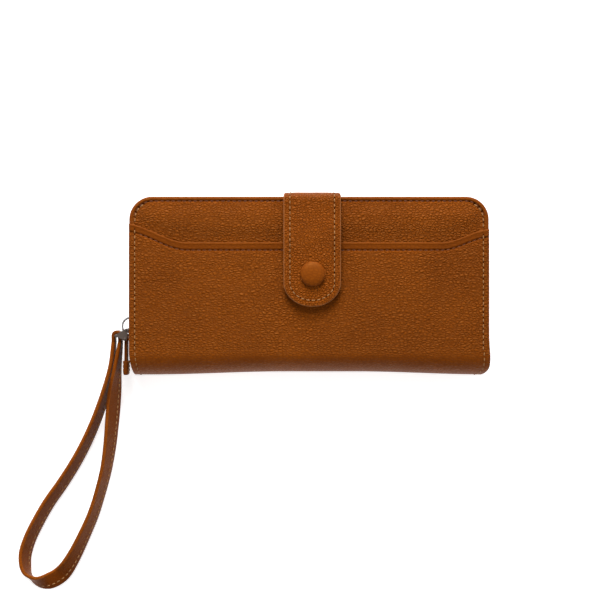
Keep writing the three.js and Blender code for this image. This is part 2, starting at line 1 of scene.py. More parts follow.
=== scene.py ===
"""A long wallet with a snap tab and a wrist strap, dressed in leather, cloth and metal over its CAD frame."""

import math

import bmesh
import bpy
from bpy.props import FloatProperty, FloatVectorProperty, PointerProperty
from mathutils import Matrix, Vector


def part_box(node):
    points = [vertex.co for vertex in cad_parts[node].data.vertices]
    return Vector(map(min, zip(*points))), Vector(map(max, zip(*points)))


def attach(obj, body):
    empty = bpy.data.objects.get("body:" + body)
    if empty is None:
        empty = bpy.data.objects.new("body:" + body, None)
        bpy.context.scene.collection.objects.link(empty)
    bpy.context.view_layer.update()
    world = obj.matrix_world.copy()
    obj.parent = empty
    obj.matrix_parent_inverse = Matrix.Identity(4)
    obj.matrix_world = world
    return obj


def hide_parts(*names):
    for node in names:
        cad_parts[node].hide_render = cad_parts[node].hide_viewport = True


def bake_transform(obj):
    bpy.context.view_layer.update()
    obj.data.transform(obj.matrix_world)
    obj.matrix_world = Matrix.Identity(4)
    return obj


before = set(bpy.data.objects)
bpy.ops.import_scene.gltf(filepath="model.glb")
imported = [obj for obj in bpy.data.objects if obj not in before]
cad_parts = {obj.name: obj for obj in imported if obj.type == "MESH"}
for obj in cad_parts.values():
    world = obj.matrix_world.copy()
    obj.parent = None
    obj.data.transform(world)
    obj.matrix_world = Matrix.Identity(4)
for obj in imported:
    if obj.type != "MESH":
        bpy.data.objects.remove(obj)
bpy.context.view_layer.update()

bl_info = {
    "name": "Long Wallet Dresser",
    "version": (1, 0, 0),
    "blender": (4, 5, 0),
    "location": "3D View > Sidebar > Wallet",
    "description": "Builds the leather, cloth and metal pieces of a long wallet on its CAD frame",
    "category": "Object",
}

MM = 0.001
UP = Vector((0, 0, 1))

# Where the CAD frame puts the main pieces.
COVER_LOW, COVER_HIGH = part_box("front_cover")
BACK_LOW, BACK_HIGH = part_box("back_cover")
POCKET_LOW, POCKET_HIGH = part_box("slip_pocket")
TAB_LOW, TAB_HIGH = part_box("tab_flap")
BRIDGE_LOW, BRIDGE_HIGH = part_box("tab_bridge")
HALF_WIDTH = COVER_HIGH.x
TOP_Y = COVER_HIGH.y
PANEL_BOTTOM_Y = COVER_LOW.y
SPINE_LOW, SPINE_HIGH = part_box("spine_front")
SPINE_RADIUS = POCKET_HIGH.z / 2
SPINE_CENTRE = Vector((0, SPINE_LOW.y + SPINE_RADIUS, SPINE_RADIUS))
SNAP_CENTRE = sum(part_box("snap_cap"), Vector()) / 2
TAB_X = (TAB_LOW.x + TAB_HIGH.x) / 2

# The wrist strap's middle line, from the left side of its end loop round to the right side.
STRAP_ROUTE = [
    (-0.107, -0.0304, 0.0124),
    (-0.1084, -0.0434, 0.0116),
    (-0.1116, -0.057, 0.0092),
    (-0.1164, -0.071, 0.0069),
    (-0.122, -0.084, 0.0055),
    (-0.1284, -0.0963, 0.00495),
    (-0.136, -0.1085, 0.0049),
    (-0.144, -0.12, 0.0049),
    (-0.1503, -0.131, 0.0049),
    (-0.155, -0.141, 0.0049),
    (-0.1572, -0.15, 0.0049),
    (-0.1558, -0.1585, 0.0049),
    (-0.1505, -0.1632, 0.0049),
    (-0.1435, -0.1633, 0.0049),
    (-0.1365, -0.1588, 0.0049),
    (-0.1305, -0.15, 0.0049),
    (-0.1245, -0.138, 0.0049),
    (-0.1193, -0.126, 0.0049),
    (-0.1155, -0.114, 0.0049),
    (-0.1122, -0.101, 0.00495),
    (-0.11, -0.087, 0.0056),
    (-0.1086, -0.073, 0.007),
    (-0.1072, -0.059, 0.0092),
    (-0.1054, -0.0445, 0.0114),
    (-0.1034, -0.0304, 0.0124),
]
# How far the strap leans over at each of those points: 0 on its edge, 1 flat on the floor.
STRAP_LEANS = [
    *(0.0, 0.1, 0.3, 0.38, 0.42, 0.45, 0.48, 0.5, 0.53, 0.57, 0.68, 0.85),
    *(0.84, 0.84, 0.78, 0.66, 0.55, 0.5, 0.5, 0.55, 0.68, 0.76, 0.7, 0.3, 0.0),
]
STRAP_BAR = Vector((-0.1052, -0.027, 0.0125))
PULL_BAR = Vector((-0.1002, -0.0288, 0.0125))
SLIDER_BAR = Vector((-0.0999, -0.024, 0.0125))
HANGER_BARS = (SLIDER_BAR, STRAP_BAR, PULL_BAR)


# ---- What a user may change ----


class WalletSizes(bpy.types.PropertyGroup):
    """Sizes of the sewn and folded details"""

    corner_radius: FloatProperty(
        name="Corner radius", description="Round of the two zipped corners", default=0.0125, unit="LENGTH"
    )
    stitch_pitch: FloatProperty(
        name="Stitch pitch", description="Distance from one stitch to the next", default=0.003, unit="LENGTH"
    )
    stitch_length: FloatProperty(
        name="Stitch length", description="Length of thread that shows", default=0.002, unit="LENGTH"
    )
    thread_radius: FloatProperty(
        name="Thread radius", description="Half the thickness of the thread", default=0.00034, unit="LENGTH"
    )
    side_seam_inset: FloatProperty(
        name="Side seam inset", description="How far the side seam runs from the edge", default=0.0032, unit="LENGTH"
    )
    mouth_band: FloatProperty(
        name="Pocket mouth band", description="Width of the turned band on the slip pocket", default=0.0041, unit="LENGTH"
    )
    strap_width: FloatProperty(
        name="Strap width", description="Width of the wrist strap", default=0.0095, unit="LENGTH"
    )
    strap_thickness: FloatProperty(
        name="Strap thickness", description="Thickness of the wrist strap", default=0.0022, unit="LENGTH"
    )
    tooth_pitch: FloatProperty(
        name="Zip tooth pitch", description="Distance between neighbouring teeth of one row", default=0.0015, unit="LENGTH"
    )
    grain_size: FloatProperty(
        name="Grain size", description="Width of one pebble of the leather grain", default=0.0015, unit="LENGTH"
    )


class WalletColours(bpy.types.PropertyGroup):
    """Base colours of the finishes"""

    leather: FloatVectorProperty(
        name="Leather", description="Main tan of the leather", subtype="COLOR", size=3, default=(0.224, 0.050, 0.0023)
    )
    # This darker tan serves as painted shade in the grain's creases, the strap and the needle holes; it also darkens
    # the random drifts of tone and the pocket band's mix.
    leather_shade: FloatVectorProperty(
        name="Leather shade", description="Darker tan in creases", subtype="COLOR", size=3, default=(0.092, 0.0155, 0.0009)
    )
    edge_paint: FloatVectorProperty(
        name="Edge paint", description="Paint on cut leather edges", subtype="COLOR", size=3, default=(0.32, 0.115, 0.036)
    )
    thread: FloatVectorProperty(
        name="Thread", description="Beige seam thread", subtype="COLOR", size=3, default=(0.42, 0.185, 0.046)
    )
    lining: FloatVectorProperty(
        name="Lining", description="Cloth lining", subtype="COLOR", size=3, default=(0.24, 0.14, 0.07)
    )
    zip_tape: FloatVectorProperty(
        name="Zip tape", description="Cloth of the zip", subtype="COLOR", size=3, default=(0.19, 0.068, 0.018)
    )
    zip_nylon: FloatVectorProperty(
        name="Zip teeth", description="Nylon of the teeth", subtype="COLOR", size=3, default=(0.20, 0.095, 0.036)
    )


# ---- Node helpers ----


def add_node(tree, kind, inputs=None, **settings):
    """Adds a node, sets its settings, and gives each named or numbered input its value or its link."""
    node = tree.nodes.new(kind)
    for name, value in settings.items():
        setattr(node, name, value)
    for key, value in (inputs or {}).items():
        if isinstance(value, bpy.types.NodeSocket):
            tree.links.new(value, node.inputs[key])
        else:
            node.inputs[key].default_value = value
    return node


def math_node(tree, operation, *values):
    return add_node(tree, "ShaderNodeMath", dict(enumerate(values)), operation=operation).outputs[0]


def mix_colour(tree, factor, first, second, blend_type="MIX"):
    inputs = {0: factor, 6: first, 7: second}
    return add_node(tree, "ShaderNodeMix", inputs, data_type="RGBA", blend_type=blend_type).outputs[2]


def map_range(tree, value, from_low, from_high, to_low, to_high, kind="SMOOTHSTEP"):
    inputs = {"Value": value, 1: from_low, 2: from_high, 3: to_low, 4: to_high}
    return add_node(tree, "ShaderNodeMapRange", inputs, interpolation_type=kind).outputs[0]


def new_group(name, inputs, outputs):
    """A shader node group with plain number inputs (name, default) and outputs (name, type)."""
    group = bpy.data.node_groups.new(name, "ShaderNodeTree")
    for socket_name, default in inputs:
        kind = "NodeSocketColor" if isinstance(default, tuple) else "NodeSocketFloat"
        group.interface.new_socket(socket_name, in_out="INPUT", socket_type=kind).default_value = default
    for socket_name, kind in outputs:
        group.interface.new_socket(socket_name, in_out="OUTPUT", socket_type=kind)
    return group, group.nodes.new("NodeGroupInput"), group.nodes.new("NodeGroupOutput")


def place_group(tree, name, values):
    """Puts a shared group into a material with its own values."""
    node = tree.nodes.new("ShaderNodeGroup")
    node.node_tree = bpy.data.node_groups[name]
    for key, value in values.items():
        if isinstance(value, bpy.types.NodeSocket):
            tree.links.new(value, node.inputs[key])
        else:
            node.inputs[key].default_value = value
    return node


# ---- Shared effects ----


def make_pebbled_grain():
    """Rounded pebbles with creases between them, a little longer across the wallet than up it."""
    group, given, made = new_group(
        "pebbled_grain",
        [("Size", 0.0014), ("Stretch", 0.72), ("Evenness", 0.5)],
        [("Height", "NodeSocketFloat"), ("Crease", "NodeSocketFloat"), ("Patch", "NodeSocketFloat")],
    )
    place = add_node(group, "ShaderNodeTexCoord").outputs["Object"]
    ratio = math_node(group, "DIVIDE", 1.0, given.outputs["Size"])
    across = math_node(group, "MULTIPLY", ratio, given.outputs["Stretch"])
    scale = add_node(group, "ShaderNodeCombineXYZ", {0: across, 1: ratio, 2: ratio}).outputs[0]
    cells = add_node(group, "ShaderNodeMapping", {"Vector": place, "Scale": scale}).outputs[0]
    wander = add_node(group, "ShaderNodeTexNoise", {"Vector": cells, "Scale": 0.55, "Detail": 2.0}).outputs["Color"]
    centred = add_node(
        group, "ShaderNodeVectorMath", {0: wander, 1: (0.5, 0.5, 0.5)}, operation="SUBTRACT"
    ).outputs[0]
    pushed = add_node(
        group, "ShaderNodeVectorMath", {0: centred, "Scale": 0.8}, operation="SCALE"
    ).outputs[0]
    bent = add_node(group, "ShaderNodeVectorMath", {0: cells, 1: pushed}, operation="ADD").outputs[0]
    edge = add_node(
        group,
        "ShaderNodeTexVoronoi",
        {"Vector": bent, "Scale": 1.0, "Randomness": 0.85},
        feature="DISTANCE_TO_EDGE",
    ).outputs["Distance"]
    pebble = math_node(group, "POWER", map_range(group, edge, 0.0, 0.5, 0.0, 1.0, "LINEAR"), 0.62)
    fine = add_node(
        group,
        "ShaderNodeTexVoronoi",
        {"Vector": bent, "Scale": 2.3, "Randomness": 1.0},
        feature="DISTANCE_TO_EDGE",
    ).outputs["Distance"]
    wrinkle = map_range(group, fine, 0.0, 0.25, 0.0, 1.0)
    patch = add_node(group, "ShaderNodeTexNoise", {"Vector": place, "Scale": 70.0, "Detail": 3.0}).outputs[0]
    depth = map_range(group, patch, 0.35, 0.65, given.outputs["Evenness"], 1.0)
    coarse = math_node(group, "MULTIPLY", pebble, depth)
    height = math_node(group, "MULTIPLY_ADD", wrinkle, 0.14, coarse)
    group.links.new(height, made.inputs["Height"])
    group.links.new(math_node(group, "SUBTRACT", 1.0, pebble), made.inputs["Crease"])
    group.links.new(patch, made.inputs["Patch"])


def make_worn_tone():
    """Slow drifts and fine specks in a colour, as handling and dye leave."""
    group, given, made = new_group(
        "worn_tone",
        [("Colour", (0.3, 0.1, 0.02, 1.0)), ("Shade", (0.15, 0.04, 0.01, 1.0)), ("Amount", 0.4)],
        [("Colour", "NodeSocketColor"), ("Mask", "NodeSocketFloat")],
    )
    place = add_node(group, "ShaderNodeTexCoord").outputs["Object"]
    drift = add_node(group, "ShaderNodeTexNoise", {"Vector": place, "Scale": 24.0, "Detail": 3.0}).outputs[0]
    speck = add_node(group, "ShaderNodeTexNoise", {"Vector": place, "Scale": 900.0, "Detail": 2.0}).outputs[0]
    drift_mask = map_range(group, drift, 0.35, 0.7, 0.0, 1.0)
    speck_mask = map_range(group, speck, 0.5, 0.75, 0.0, 0.5)
    both = math_node(group, "MAXIMUM", drift_mask, speck_mask)
    mask = math_node(group, "MULTIPLY", both, given.outputs["Amount"])
    group.links.new(mix_colour(group, mask, given.outputs["Colour"], given.outputs["Shade"]), made.inputs["Colour"])
    group.links.new(mask, made.inputs["Mask"])


def make_plain_weave():
    """Threads that pass over and under each other, from two distances along the cloth."""
    group, given, made = new_group(
        "plain_weave",
        [("Along", 0.0), ("Across", 0.0), ("Pitch", 0.0004)],
        [("Height", "NodeSocketFloat"), ("Gap", "NodeSocketFloat")],
    )
    turns = math_node(group, "DIVIDE", math.pi, given.outputs["Pitch"])
    along = math_node(group, "SINE", math_node(group, "MULTIPLY", given.outputs["Along"], turns))
    across = math_node(group, "SINE", math_node(group, "MULTIPLY", given.outputs["Across"], turns))
    crossing = math_node(group, "MULTIPLY", along, across)
    height = math_node(group, "MULTIPLY_ADD", crossing, 0.5, 0.5)
    round_along = math_node(group, "ABSOLUTE", along)
    round_across = math_node(group, "ABSOLUTE", across)
    gap = math_node(group, "SUBTRACT", 1.0, math_node(group, "MINIMUM", round_along, round_across))
    group.links.new(height, made.inputs["Height"])
    group.links.new(map_range(group, gap, 0.6, 1.0, 0.0, 1.0), made.inputs["Gap"])


def make_handling_marks():
    """Faint smears and hair scratches on metal and nylon."""
    group, given, made = new_group(
        "handling_marks",
        [("Low", 0.2), ("High", 0.4)],
        [("Roughness", "NodeSocketFloat"), ("Height", "NodeSocketFloat"), ("Mask", "NodeSocketFloat")],
    )
    place = add_node(group, "ShaderNodeTexCoord").outputs["Object"]
    smear = add_node(group, "ShaderNodeTexNoise", {"Vector": place, "Scale": 260.0, "Detail": 4.0}).outputs[0]
    stretched = add_node(group, "ShaderNodeMapping", {"Vector": place, "Scale": (4000.0, 400.0, 900.0)}).outputs[0]
    hair = add_node(group, "ShaderNodeTexNoise", {"Vector": stretched, "Scale": 1.0, "Detail": 2.0}).outputs[0]
    mask = map_range(group, smear, 0.4, 0.65, 0.0, 1.0)
    rough = map_range(group, mask, 0.0, 1.0, given.outputs["Low"], given.outputs["High"], "LINEAR")
    group.links.new(rough, made.inputs["Roughness"])
    group.links.new(hair, made.inputs["Height"])
    group.links.new(mask, made.inputs["Mask"])


# ---- Materials ----


def new_material(name):
    """A material with an empty tree but for its shader and output."""
    material = bpy.data.materials.new(name)
    material.use_nodes = True
    tree = material.node_tree
    tree.nodes.clear()
    shader = tree.nodes.new("ShaderNodeBsdfPrincipled")
    output = tree.nodes.new("ShaderNodeOutputMaterial")
    tree.links.new(shader.outputs[0], output.inputs[0])
    return material, tree, shader


def finish_leather(name, colour, shade, depth, rough=0.47, evenness=0.55, spine_fade=1.0, size=1.0, stretch=0.62):
    """Leather with pebbled grain of the given depth, which fades round the spine."""
    sizes = bpy.context.scene.wallet_sizes
    material, tree, shader = new_material(name)
    grain = place_group(
        tree, "pebbled_grain", {"Size": sizes.grain_size * size, "Evenness": evenness, "Stretch": stretch}
    )
    tone = place_group(tree, "worn_tone", {"Colour": (*colour, 1), "Shade": (*shade, 1), "Amount": 0.30})
    # Painted shade: the grain's creases are painted with the darker shade colour.
    painted_crease_shade = math_node(tree, "MULTIPLY", math_node(tree, "POWER", grain.outputs["Crease"], 1.6), 0.5)
    paint = mix_colour(tree, painted_crease_shade, tone.outputs["Colour"], (*shade, 1))
    tree.links.new(paint, shader.inputs["Base Color"])
    crown = map_range(tree, grain.outputs["Height"], 0.1, 1.1, rough + 0.16, rough)
    tree.links.new(crown, shader.inputs["Roughness"])
    shader.inputs["Specular IOR Level"].default_value = 0.28
    shader.inputs["Specular Tint"].default_value = (1.0, 0.55, 0.16, 1)
    height = grain.outputs["Height"]
    if spine_fade < 1:
        place = add_node(tree, "ShaderNodeTexCoord").outputs["Object"]
        level = add_node(tree, "ShaderNodeSeparateXYZ", {0: place}).outputs["Y"]
        keep = map_range(tree, level, -0.041, -0.031, spine_fade, 1.0)
        height = math_node(tree, "MULTIPLY", height, keep)
    waves = add_node(
        tree,
        "ShaderNodeTexNoise",
        {"Vector": add_node(tree, "ShaderNodeTexCoord").outputs["Object"], "Scale": 38.0, "Detail": 1.0},
    ).outputs[0]
    swell = add_node(tree, "ShaderNodeBump", {"Height": waves, "Distance": 0.0012, "Strength": 0.55})
    bump = add_node(
        tree, "ShaderNodeBump", {"Height": height, "Distance": depth, "Strength": 1.0, "Normal": swell.outputs[0]}
    )
    tree.links.new(bump.outputs[0], shader.inputs["Normal"])
    return material


def finish_edge_paint(name, colour):
    """Smooth, slightly waxy paint over a cut leather edge."""
    material, tree, shader = new_material(name)
    dark = tuple(c * 0.55 for c in colour)
    tone = place_group(tree, "worn_tone", {"Colour": (*colour, 1), "Shade": (*dark, 1), "Amount": 0.5})
    tree.links.new(tone.outputs["Colour"], shader.inputs["Base Color"])
    tree.links.new(map_range(tree, tone.outputs["Mask"], 0.0, 0.5, 0.42, 0.6), shader.inputs["Roughness"])
    shader.inputs["Specular IOR Level"].default_value = 0.05
    shader.inputs["Specular Tint"].default_value = (1.0, 0.55, 0.25, 1)
    place = add_node(tree, "ShaderNodeTexCoord").outputs["Object"]
    lumps = add_node(tree, "ShaderNodeTexNoise", {"Vector": place, "Scale": 700.0, "Detail": 3.0}).outputs[0]
    bump = add_node(tree, "ShaderNodeBump", {"Height": lumps, "Distance": 0.00012, "Strength": 0.8})
    tree.links.new(bump.outputs[0], shader.inputs["Normal"])
    return material


def finish_thread(name, colour):
    """Twisted polyester thread."""
    material, tree, shader = new_material(name)
    place = add_node(tree, "ShaderNodeTexCoord").outputs["Object"]
    turned = add_node(tree, "ShaderNodeMapping", {"Vector": place, "Rotation": (0.5, 0.6, 0.8)}).outputs[0]
    ply = add_node(
        tree, "ShaderNodeTexWave", {"Vector": turned, "Scale": 620.0, "Distortion": 1.5, "Detail": 1.0}
    ).outputs["Fac"]
    dark = tuple(c * 0.5 for c in colour)
    # Painted shade: the grooves between the plies are painted darker.
    tree.links.new(mix_colour(tree, ply, (*dark, 1), (*colour, 1)), shader.inputs["Base Color"])
    tree.links.new(map_range(tree, ply, 0.0, 1.0, 0.75, 0.55), shader.inputs["Roughness"])
    bump = add_node(tree, "ShaderNodeBump", {"Height": ply, "Distance": 0.0001, "Strength": 0.8})
    tree.links.new(bump.outputs[0], shader.inputs["Normal"])
    shader.inputs["Sheen Weight"].default_value = 0.05
    return material


def finish_cloth(name, colour, pitch, along_axes, across_axis):
    """Woven cloth; the axes say which way its threads run."""
    material, tree, shader = new_material(name)
    place = add_node(tree, "ShaderNodeTexCoord").outputs["Object"]
    parts = add_node(tree, "ShaderNodeSeparateXYZ", {0: place})
    along = parts.outputs[along_axes[0]]
    for axis in along_axes[1:]:
        along = math_node(tree, "ADD", along, parts.outputs[axis])
    weave = place_group(tree, "plain_weave", {"Along": along, "Across": parts.outputs[across_axis], "Pitch": pitch})
    shade = tuple(c * 0.45 for c in colour)
    tone = place_group(tree, "worn_tone", {"Colour": (*colour, 1), "Shade": (*shade, 1), "Amount": 0.45})
    # Painted shade: the gaps between the threads are painted with the darker shade colour.
    woven_gap_shade = mix_colour(tree, math_node(tree, "MULTIPLY", weave.outputs["Gap"], 0.7), tone.outputs["Colour"], (*shade, 1))
    tree.links.new(woven_gap_shade, shader.inputs["Base Color"])
    tree.links.new(map_range(tree, weave.outputs["Height"], 0.0, 1.0, 0.95, 0.8), shader.inputs["Roughness"])
    bump = add_node(tree, "ShaderNodeBump", {"Height": weave.outputs["Height"], "Distance": 0.0001, "Strength": 0.9})
    tree.links.new(bump.outputs[0], shader.inputs["Normal"])
    shader.inputs["Sheen Weight"].default_value = 0.1
    return material


def finish_hard(name, colour, low, high, metallic):
    """Plated metal or moulded nylon with handling marks."""
    material, tree, shader = new_material(name)
    marks = place_group(tree, "handling_marks", {"Low": low, "High": high})
    dull = tuple(c * 0.7 for c in colour)
    tree.links.new(
        mix_colour(tree, marks.outputs["Mask"], (*colour, 1), (*dull, 1)), shader.inputs["Base Color"]
    )
    tree.links.new(marks.outputs["Roughness"], shader.inputs["Roughness"])
    bump = add_node(tree, "ShaderNodeBump", {"Height": marks.outputs["Height"], "Distance": 0.00002, "Strength": 0.5})
    tree.links.new(bump.outputs[0], shader.inputs["Normal"])
    shader.inputs["Metallic"].default_value = metallic
    return material


def make_materials():
    """Every finish of the wallet, by name."""
    make_pebbled_grain()
    make_worn_tone()
    make_plain_weave()
    make_handling_marks()
    colours = bpy.context.scene.wallet_colours
    tan, shade = tuple(colours.leather), tuple(colours.leather_shade)
    finish_leather("grained_leather", tan, shade, 0.00070, rough=0.36, evenness=0.8, spine_fade=0.25, size=0.85)
    # Painted highlight: a lighter copy of the tan, 1.22 times as bright, for the tab and the strap's upper rim,
    # standing in for the light falling on them.
    painted_highlight_tan = tuple(c * 1.22 for c in tan)
    finish_leather("tab_leather_painted_highlight", painted_highlight_tan, shade, 0.00075, rough=0.33, evenness=0.9, size=0.9, stretch=0.85)
    finish_leather("smooth_leather", tan, shade, 0.00010, rough=0.42, evenness=0.3)
    band = tuple(a * 0.72 + b * 0.28 for a, b in zip(tan, shade))
    finish_leather("band_leather", band, shade, 0.00018, rough=0.44, evenness=0.3)
    # Painted shade: the strap, its fold and the pull tab get a darker mix of tan and shade, standing in for the shade
    # on them.
    strap = tuple(a * 0.42 + b * 0.58 for a, b in zip(tan, shade))
    finish_leather("strap_leather", strap, shade, 0.00020, rough=0.36, evenness=0.4, size=0.7)
    # The strap's upper rim gets the lighter tan as a painted highlight.
    finish_leather("strap_rim_painted_highlight", painted_highlight_tan, shade, 0.00015, rough=0.36, evenness=0.4, size=0.7)
    finish_leather("card_leather", tan, shade, 0.00012, rough=0.55, evenness=0.4, size=0.6)
    finish_edge_paint("edge_paint", tuple(colours.edge_paint))
    # Painted shade: very dark beads where the needle holes are, on the edge paint's finish.
    finish_edge_paint("needle_hole", tuple(c * 0.25 for c in shade))
    finish_thread("beige_thread", tuple(colours.thread))
    finish_thread("tan_thread", tuple(c * 0.8 for c in tan))
    finish_cloth("lining_cloth", tuple(colours.lining), 0.00045, "X", "Y")
    finish_cloth("gusset_cloth", tuple(colours.lining), 0.00045, "XZ", "Y")
    finish_cloth("tape_cloth", tuple(colours.zip_tape), 0.0005, "XY", "Z")
    finish_hard("nylon", tuple(colours.zip_nylon), 0.3, 0.45, 0.0)
    finish_hard("silver", (0.93, 0.93, 0.94), 0.14, 0.3, 1.0)
    finish_hard("dark_metal", (0.022, 0.016, 0.012), 0.25, 0.4, 0.4)


# ---- Mesh helpers ----


def finish_piece(bm, name, materials, body=None, replaced=(), sharp_degrees=42):
    """Closes off a bmesh as a piece with its finishes, CAD nodes and body."""
    bmesh.ops.remove_doubles(bm, verts=bm.verts, dist=0.001 * MM)
    bmesh.ops.recalc_face_normals(bm, faces=bm.faces)
    mesh = bpy.data.meshes.new(name)
    bm.to_mesh(mesh)
    bm.free()
    names = [materials] if isinstance(materials, str) else materials
    for material_name in names:
        mesh.materials.append(bpy.data.materials[material_name])
    mesh.shade_smooth()
    mesh.set_sharp_from_angle(angle=math.radians(sharp_degrees))
    piece = bpy.data.objects.new(name, mesh)
    bpy.context.scene.collection.objects.link(piece)
    if replaced:
        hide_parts(*replaced)
    if body:
        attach(piece, body)
    return piece


def only(geometry, kind):
    return [item for item in geometry if isinstance(item, kind)]


def add_box(bm, low, high, round_by=0.0, segments=3):
    """A box between two corners, with all its edges rounded."""
    low, high = Vector(low), Vector(high)
    place = Matrix.Translation((low + high) / 2) @ Matrix.Diagonal((*(high - low), 1))
    verts = bmesh.ops.create_cube(bm, size=1, matrix=place)["verts"]
    if round_by:
        edges = list({edge for vert in verts for edge in vert.link_edges})
        bmesh.ops.bevel(
            bm, geom=edges, offset=round_by, offset_type="OFFSET", segments=segments, profile=0.5, affect="EDGES", material=-1
        )


def add_face(bm, corners):
    return bm.faces.new([bm.verts.new(corner) for corner in corners])


def round_corners(bm, corners, radius, segments):
    """Rounds the given corners of a flat face and gives the face they belong to."""
    rounded = bmesh.ops.bevel(
        bm,
        geom=corners,
        offset=radius,
        offset_type="OFFSET",
        segments=segments,
        profile=0.5,
        affect="VERTICES",
        material=-1,
    )
    return rounded["verts"][0].link_faces[0]


def section_face(bm, width, height, round_by, segments=3):
    """A rectangle with rounded corners, flat in its own X and Y, to be swept along a line."""
    x, y = width / 2, height / 2
    face = add_face(bm, [(-x, -y, 0), (x, -y, 0), (x, y, 0), (-x, y, 0)])
    return round_corners(bm, face.verts[:], round_by, segments)


def grow_faces(bm, faces):
    """Extrudes faces where they are and gives the moved ones; no face is left behind between the two."""
    edges = {edge for face in faces for edge in face.edges}
    verts = {vert for face in faces for vert in face.verts}
    grown = bmesh.ops.extrude_face_region(bm, geom=[*faces, *edges, *verts])["geom"]
    return only(grown, bmesh.types.BMFace)


def sweep(bm, face, places):
    """Extrudes a section face from place to place; each place is a matrix."""
    bmesh.ops.transform(bm, matrix=places[0], verts=face.verts)
    for before, after in zip(places, places[1:]):
        face = grow_faces(bm, [face])[0]
        bmesh.ops.transform(bm, matrix=after @ before.inverted(), verts=face.verts)


def place_on(point, along, upward):
    """A matrix with its Z along the line and its Y as near to upward as it can be."""
    along = along.normalized()
    across = upward.cross(along).normalized()
    raised = along.cross(across)
    turn = Matrix((across, raised, along)).transposed().to_4x4()
    return Matrix.Translation(point) @ turn


def places_along(points, upward):
    """A place at each point of a line, turned with it."""
    places = []
    for index, point in enumerate(points):
        before = points[max(index - 1, 0)]
        after = points[min(index + 1, len(points) - 1)]
        places.append(place_on(point, after - before, upward))
    return places


def even_steps(points, pitch, start=0.0):
    """Points a pitch apart along a line, each with the line's direction there."""
    steps = []
    due = start
    for here, there in zip(points, points[1:]):
        leg = there - here
        while due < leg.length:
            steps.append((here + leg * (due / leg.length), leg.normalized()))
            due += pitch
        due -= leg.length
    return steps


def make_bead():
    """A small round bead, two across, that every stitch and zip tooth is a stretched copy of."""
    bm = bmesh.new()
    bmesh.ops.create_uvsphere(bm, u_segments=6, v_segments=5, radius=1)
    mesh = bpy.data.meshes.new("bead")
    bm.to_mesh(mesh)
    bm.free()


def add_bead(bm, place):
    """Adds one stretched copy of the bead."""
    copy = bpy.data.meshes["bead"].copy()
    copy.transform(place)
    bm.from_mesh(copy)
    bpy.data.meshes.remove(copy)


def add_stitch(bm, centre, along, outward, length=None, radius=None):
    """One stitch: a small bead of thread, long along the seam and flattened on the leather."""
    sizes = bpy.context.scene.wallet_sizes
    length = length or sizes.stitch_length
    radius = radius or sizes.thread_radius
    side = outward.cross(along).normalized()
    axes = Matrix((side * radius, outward.normalized() * radius, along.normalized() * length / 2))
    add_bead(bm, Matrix.Translation(centre) @ axes.transposed().to_4x4())


def add_seam(bm, hole_shades, points, outward, pitch=None, lift=0.0):
    """Stitches along a line on a flat face, with a dark bead between each two, painted shade for a needle hole."""
    sizes = bpy.context.scene.wallet_sizes
    pitch = pitch or sizes.stitch_pitch
    for centre, along in even_steps(points, pitch, pitch / 2):
        add_stitch(bm, centre + outward * lift, along, outward)
        if hole_shades is not None:
            add_stitch(hole_shades, centre + along * (pitch / 2), along, outward, 0.75 * MM, 0.3 * MM)


def smooth_step(value, low, high):
    share = min(max((value - low) / (high - low), 0.0), 1.0)
    return share * share * (3 - 2 * share)


def rim_line(inset, bottom_y, z, corner_steps=10):
    """The line round the zipped edge and in from it: up the left side, across the top and down the right."""
    radius = bpy.context.scene.wallet_sizes.corner_radius
    centre_x = HALF_WIDTH - radius
    centre_y = TOP_Y - radius
    reach = radius - inset
    angles = [math.pi / 2 * step / corner_steps for step in range(corner_steps + 1)]
    left = [Vector((-centre_x - reach * math.cos(a), centre_y + reach * math.sin(a), z)) for a in angles]
    right = [Vector((-point.x, point.y, z)) for point in reversed(left)]
    return [Vector((-centre_x - reach, bottom_y, z)), *left, *right, Vector((centre_x + reach, bottom_y, z))]


def mouth_y(x):
    """The slip pocket's mouth: low in the middle and up to the sides on a soft slope, more so on the left."""
    if x < 0:
        return (23.6 + 10.2 * smooth_step(-x, 66 * MM, 100 * MM)) * MM
    return (23.6 + 7 * smooth_step(x, 72 * MM, 98 * MM)) * MM


def wave_of_stitches(x):
    """0 between stitches and 1 at the middle of each."""
    pitch = bpy.context.scene.wallet_sizes.stitch_pitch
    return math.sin(math.pi * x / pitch) ** 2


def shape_spine_end(point):
    """Narrows the leather round the spine, rounds its ends, and lets its middle sit a little further in."""
    past = PANEL_BOTTOM_Y + 3 * MM - point.y
    if past <= 0:
        return
    depth = min(past / (16.4 * MM), 1.0)
    if point.x < 0:
        reach = HALF_WIDTH - 2.3 * MM * depth**2.6
    else:
        turn = min(max((past - 11 * MM) / (5.6 * MM), 0.0), 1.0)
        reach = HALF_WIDTH + 0.7 * MM * math.sin(math.pi * depth) - 5 * MM * (1 - math.sqrt(1 - turn * turn))
    point.x *= reach / HALF_WIDTH
    middle = 1 - smooth_step(abs(point.x - 6 * MM), 20 * MM, 92 * MM)
    point.y += 1.7 * MM * middle * smooth_step(past, 3 * MM, 16 * MM)


# ---- The stage ----


